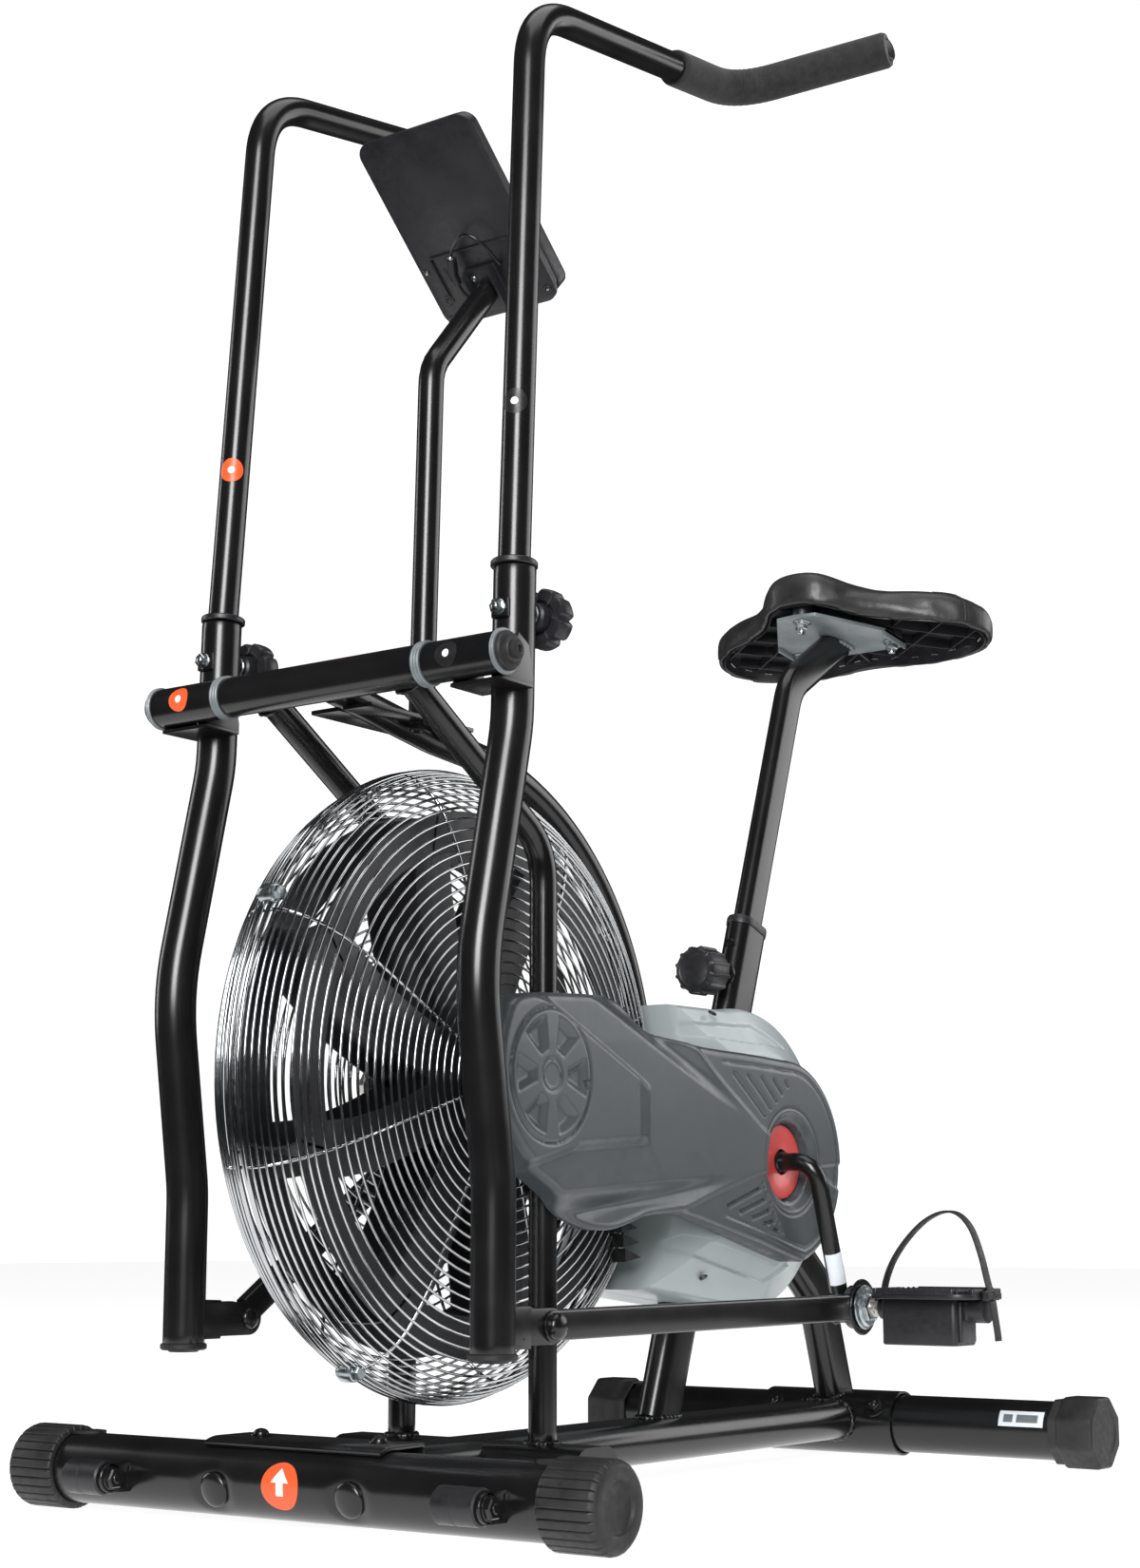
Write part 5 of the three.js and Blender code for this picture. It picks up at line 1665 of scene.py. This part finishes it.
def make_seat():
    path = rounded([
        [*seat_axis(428)], [*seat_axis(808), 60], [-868, 0, 876],
    ], 14)
    post = sweep(resample(path, 6), oval_section(20, 38, 14))
    ahead = (PLATE_HIGH - PLATE_LOW).normalized()
    rise = Vector((-ahead.z, 0, ahead.x))

    def on_plate(x, y, out=0.0):
        """Point on the bracket plate's top face at a layout x, out along its normal."""
        t = (x - PLATE_LOW.x) / (PLATE_HIGH.x - PLATE_LOW.x)
        p = PLATE_LOW.lerp(PLATE_HIGH, t) + rise * (4 + out)
        return at_y(p, y)

    corners = [(-905, -62), (-899, -68), (-850, -68), (-775, -24), (-772, 0), (-775, 24),
               (-850, 68), (-899, 68), (-905, 62)]
    slab = loft([[on_plate(x, y, out) for x, y in corners] for out in (-4, -3.4, -0.6, 0)])
    lips = []
    for s in (1, -1):
        strip = ((-899, 68), (-850, 68), (-850, 65.5), (-899, 65.5))
        lips.append(loft([[on_plate(x, s * y, out) for x, y in strip] for out in (-9, 0)]))
    piece("seat_post_tube", [post], "paint", "seat", ["seat_post"])
    piece("seat_post_plate", [slab, *lips], "plate", "seat", bevel=0.5)
    top = on_plate(-868, 0, -4)
    bead = weld([top + Vector((-b * 1.08, a * 1.05, -1.5 - 0.115 * b))
                 for a, b in oval_section(20, 38, 14)], 2.4, 8)
    piece("seat_post_weld", [bead], "plate", "seat", sharp=80)

    bolts = []
    posts = []
    for x, y in ((-788, 0), (-885, 58), (-885, -58)):
        spot = on_plate(x, y, -4)
        bolts.append(ring(spot - rise * 1.8, rise, 3, 10, 1.9, 0.6, 40))
        bolts.append(ring(spot - rise * 3.2, rise, 3, 7.6, 1.5, 0.4, 32))
        bolts.append(hex_head(spot - rise * 3.0, rise * -1, 12, 6.0))
        bolts.append(disc(spot - rise * 8.5, rise * -1, 3.8, 5, 0.6, 24))
        posts.append(disc(on_plate(x, y, 0), rise, 11, 22, 1.0, 32))
    piece("seat_plate_bolts", bolts, "zinc", "seat", sharp=28)

    # The plastic pan inside the saddle: a rim wall, a floor and a lattice of ribs.
    floor_levels = [(899, 60, 0.9), (898, 18, 0.8), (890, 14.6, 0.7), (880, 13.0, 0.6),
                    (879.4, 11.6, 0.6), (883, 10.8, 0.6), (892, 12.4, 0.7), (900, 16, 0.8),
                    (904, 60, 0.9)]
    basin = loft([seat_ring(*level) for level in floor_levels])
    ribs = []
    for heading in (1, -1):
        for k in range(-4, 5):
            line = []
            for t in np.linspace(-190, 190, 96):
                x = -868 + 50 * k + 0.60 * t * heading
                y = 0.80 * t
                line.append(Vector((x, y, 893.5 + seat_lift(x, y, 0.8))))
            for run in strip_runs(line, lambda p: seat_inset(p.x, p.y) > 15):
                ribs.append(sweep(run, box_section(1.5, 11, 0.5, 2), (heading, -0.75, 0)))
    middle = [Vector((x, 0, 892 + seat_lift(x, 0, 0.8))) for x in np.linspace(-950, -765, 40)]
    ribs.append(sweep(middle, box_section(3, 15, 1.0, 2), ACROSS))
    piece("saddle_pan", [basin], "plastic", "seat", ["seat_pan"])
    piece("saddle_pan_ribs", ribs + posts, "plastic", "seat")

    # Staples hold the leather's edge inside the rim.
    staples = []
    row = seat_ring(888.5, 14.9, 0.68)
    spots = resample(row + [row[0]], 12)
    for k in range(1, len(spots) - 1, 2):
        along = (spots[k + 1] - spots[k - 1]).normalized()
        start = spots[k] - along * 4.2 + Vector((0, 0, 1.2 * math.sin(5.1 * k)))
        end = spots[k] + along * 4.2 - Vector((0, 0, 1.2 * math.sin(3.7 * k)))
        staples.append(sweep([start, end], round_section(0.55, 8)))
    piece("saddle_staples", staples, "zinc", "seat")


# ---- labels ---------------------------------------------------------------------------------------
def tube_patch(centre, axis, facing, radius, outline, lift=0.25):
    """A thin label wrapped on a tube; outline points are (along the axis, round the tube)."""
    axis = Vector(axis).normalized()
    facing = (Vector(facing) - axis * Vector(facing).dot(axis)).normalized()
    across = axis.cross(facing)

    def wrap(a, b, r):
        turn = b / radius
        return Vector(centre) + axis * a + (facing * math.cos(turn) + across * math.sin(turn)) * r

    mid_a = sum(a for a, _ in outline) / len(outline)
    mid_b = sum(b for _, b in outline) / len(outline)
    rings = []
    for size in (0.02, 0.15, 0.3, 0.45, 0.6, 0.75, 0.9, 1.0):
        rings.append([wrap(lerp(mid_a, a, size), lerp(mid_b, b, size), radius + lift)
                      for a, b in outline])
    rings.append([wrap(a, b, radius - 0.8) for a, b in outline])
    return loft(rings)


def dense_outline(corners, step=1.0):
    """Closed outline with extra points along its straight edges."""
    points = []
    for (ax, ay), (bx, by) in zip(corners, corners[1:] + corners[:1]):
        count = max(1, int(math.hypot(bx - ax, by - ay) / step))
        points += [(lerp(ax, bx, i / count), lerp(ay, by, i / count)) for i in range(count)]
    return points


def make_labels():
    round_label = arc(0, 0, 11, 0, 352.5, 47)
    dot = arc(0, 0, 3.2, 0, 350, 35)
    path = handle_path()
    near = next(i for i, p in enumerate(path) if p.z > 880)
    low, high = path[near - 1], path[near]
    centre = low.lerp(high, (897 - low.z) / (high.z - low.z))
    axis = (high - low).normalized()
    left_view = Vector((0.93, 0.36, 0))
    right_view = Vector((0.86, 0.50, 0))
    other = at_y(centre, -centre.y)
    other_axis = at_y(axis, -axis.y)
    place = {
        "handle_label_left": (centre, axis, left_view, HANDLE_R, "black_label", "arm_left"),
        "handle_label_right": (other, other_axis, right_view, HANDLE_R, "orange_label",
                               "arm_right"),
        "sleeve_label_left": (at_y(PIVOT, 142), ACROSS, (1, 0, 0.10), PIVOT_R,
                              "black_label", "arm_left"),
        "sleeve_label_right": (at_y(PIVOT, -152), ACROSS, (1, 0, 0.10), PIVOT_R,
                               "orange_label", "arm_right"),
    }
    for name, (at, along, facing, radius, finish, body) in place.items():
        shell = tube_patch(at, along, facing, radius, round_label)
        piece(name, [shell], finish, body)
        mark = tube_patch(at, along, facing, radius, dot, 0.4)
        piece(f"{name}_dot", [mark], "pale_mark", body)

    # A wrapped paper label near the pin of the left crank.
    hub = at_y(CRANK, CRANK_Y)
    pin = at_y(PIN["left"], CRANK_Y)
    wrap = dense_outline([(-15, -11), (15, -11), (15, 11), (-15, 11)])
    place_at = pin.lerp(hub, 0.27)
    piece("crank_label_left", [tube_patch(place_at, pin - hub, (0.6, 0.8, 0), CRANK_R, wrap)],
          "white_label", "crank")

    foot = (0, 2, FOOT_Z)
    big = arc(0, 0, 19, 0, 354, 59)
    piece("foot_arrow_label", [tube_patch(foot, ACROSS, AHEAD, FOOT_R, big)],
          "orange_label", "frame")
    head = dense_outline([(-9, -3), (0, -14), (9, -3)])
    stem = dense_outline([(-3.6, -3.2), (3.6, -3.2), (3.6, 7), (-3.6, 7)])
    marks = [tube_patch(foot, ACROSS, AHEAD, FOOT_R, shape, 0.4) for shape in (head, stem)]
    piece("foot_arrow_mark", marks, "pale_mark", "frame")

    rear = (REAR_X, 222, FOOT_Z)
    facing = (0.90, 0, 0.42)
    card = dense_outline([(-24, -8), (24, -8), (24, 8), (-24, 8)])
    piece("rear_foot_label", [tube_patch(rear, ACROSS, facing, FOOT_R, card)],
          "white_label", "frame")
    bars = [tube_patch(rear, ACROSS, facing, FOOT_R,
                       dense_outline([(a, -4), (b, -4), (b, 4), (a, 4)]), 0.4)
            for a, b in ((-19, -9), (-5, 18))]
    piece("rear_foot_label_bars", bars, "plate", "frame", slot="light_plastic")


# ---- studio -----------------------------------------------------------------------------------------
CAMERA_PLACE = (1.948568, 1.347144, 0.225680)
CAMERA_FORWARD = (-0.7969, -0.5773, 0.1778)
CAMERA_LENS = 57.18
FLOOR_HALF = 14.0


def area_light(name, place, target, size, power):
    """Soft box at a place in metres, aimed at a target."""
    data = bpy.data.lights.new(name, "AREA")
    data.shape = "RECTANGLE"
    data.size, data.size_y = size
    data.energy = power
    lamp = bpy.data.objects.new(name, data)
    lamp.location = place
    aim = Vector(target) - Vector(place)
    lamp.rotation_euler = aim.to_track_quat("-Z", "Y").to_euler()
    bpy.context.scene.collection.objects.link(lamp)


def floor_sheet(name, low, high, z, material):
    """Flat rectangle in metres between two (x, y) corners."""
    mesh = bpy.data.meshes.new(name)
    corners = [(low[0], low[1], z), (high[0], low[1], z), (high[0], high[1], z), (low[0], high[1], z)]
    mesh.from_pydata(corners, [], [(0, 1, 2, 3)])
    mesh.materials.append(material)
    sheet = bpy.data.objects.new(name, mesh)
    bpy.context.scene.collection.objects.link(sheet)
    return sheet


def make_floor():
    floor_material = new_material("floor", (0.40, 0.40, 0.40), 0.8, specular=0.1)
    shader = floor_material.node_tree.nodes["Principled BSDF"]
    shader.inputs["Emission Color"].default_value = (1, 1, 1, 1)
    shader.inputs["Emission Strength"].default_value = 0.93
    floor = floor_sheet("floor", (-FLOOR_HALF, -FLOOR_HALF), (FLOOR_HALF, FLOOR_HALF), 0,
                        floor_material)
    floor.visible_glossy = False
    # The bike's paint mirrors only this nearer sheet, which is not seen itself.
    near_floor = floor_sheet("near_floor", (-1.5, -1.3), (0.95, 1.3), -0.002, floor_material)
    near_floor.visible_camera = False
    near_floor.visible_diffuse = False
    near_floor.visible_shadow = False


def make_camera():
    scene = bpy.context.scene
    camera_data = bpy.data.cameras.new("camera")
    camera_data.lens = CAMERA_LENS
    camera_data.sensor_fit = "VERTICAL"
    camera_data.sensor_height = 36.0
    camera = bpy.data.objects.new("camera", camera_data)
    camera.location = CAMERA_PLACE
    camera.rotation_euler = Vector(CAMERA_FORWARD).to_track_quat("-Z", "Y").to_euler()
    scene.collection.objects.link(camera)
    scene.camera = camera


def make_world():
    world = bpy.data.worlds.new("studio")
    world.use_nodes = True
    tree = world.node_tree
    tree.nodes.clear()
    out = tree.nodes.new("ShaderNodeOutputWorld")
    seen = tree.nodes.new("ShaderNodeBackground")
    seen.inputs["Color"].default_value = (1, 1, 1, 1)
    seen.inputs["Strength"].default_value = 1.15
    around = tree.nodes.new("ShaderNodeBackground")
    around.inputs["Color"].default_value = (0.92, 0.96, 1.0, 1)
    around.inputs["Strength"].default_value = 0.035
    path = tree.nodes.new("ShaderNodeLightPath")
    mix = tree.nodes.new("ShaderNodeMixShader")
    tree.links.new(path.outputs["Is Camera Ray"], mix.inputs["Fac"])
    tree.links.new(around.outputs["Background"], mix.inputs[1])
    tree.links.new(seen.outputs["Background"], mix.inputs[2])
    tree.links.new(mix.outputs["Shader"], out.inputs["Surface"])
    bpy.context.scene.world = world


def make_lights():
    middle = (0, 0, 0.65)
    area_light("key", (5.5, 3.0, 2.75), middle, (2.5, 3.3), 500)
    area_light("left_strip", (1.2, -3.6, 1.5), middle, (0.8, 2.2), 24)
    area_light("right_panel", (-3.0, 2.1, 1.75), middle, (3.0, 2.2), 55)
    area_light("top", (0.3, 0.6, 4.2), middle, (3.0, 3.0), 60)
    view = bpy.context.scene.view_settings
    view.view_transform = "Standard"
    view.look = "None"
    view.exposure = 0.0


for make in (
    make_feet, make_rollers, make_rail, make_upper_frame, make_console, make_seat_frame, make_cage,
    make_fan, make_crank, make_chain, make_casing, make_cover, make_arms, make_handles, make_rods,
    make_pedals, make_knobs, make_cushion, make_seat, make_labels, make_floor,
    make_camera, make_world, make_lights,
):
    make()
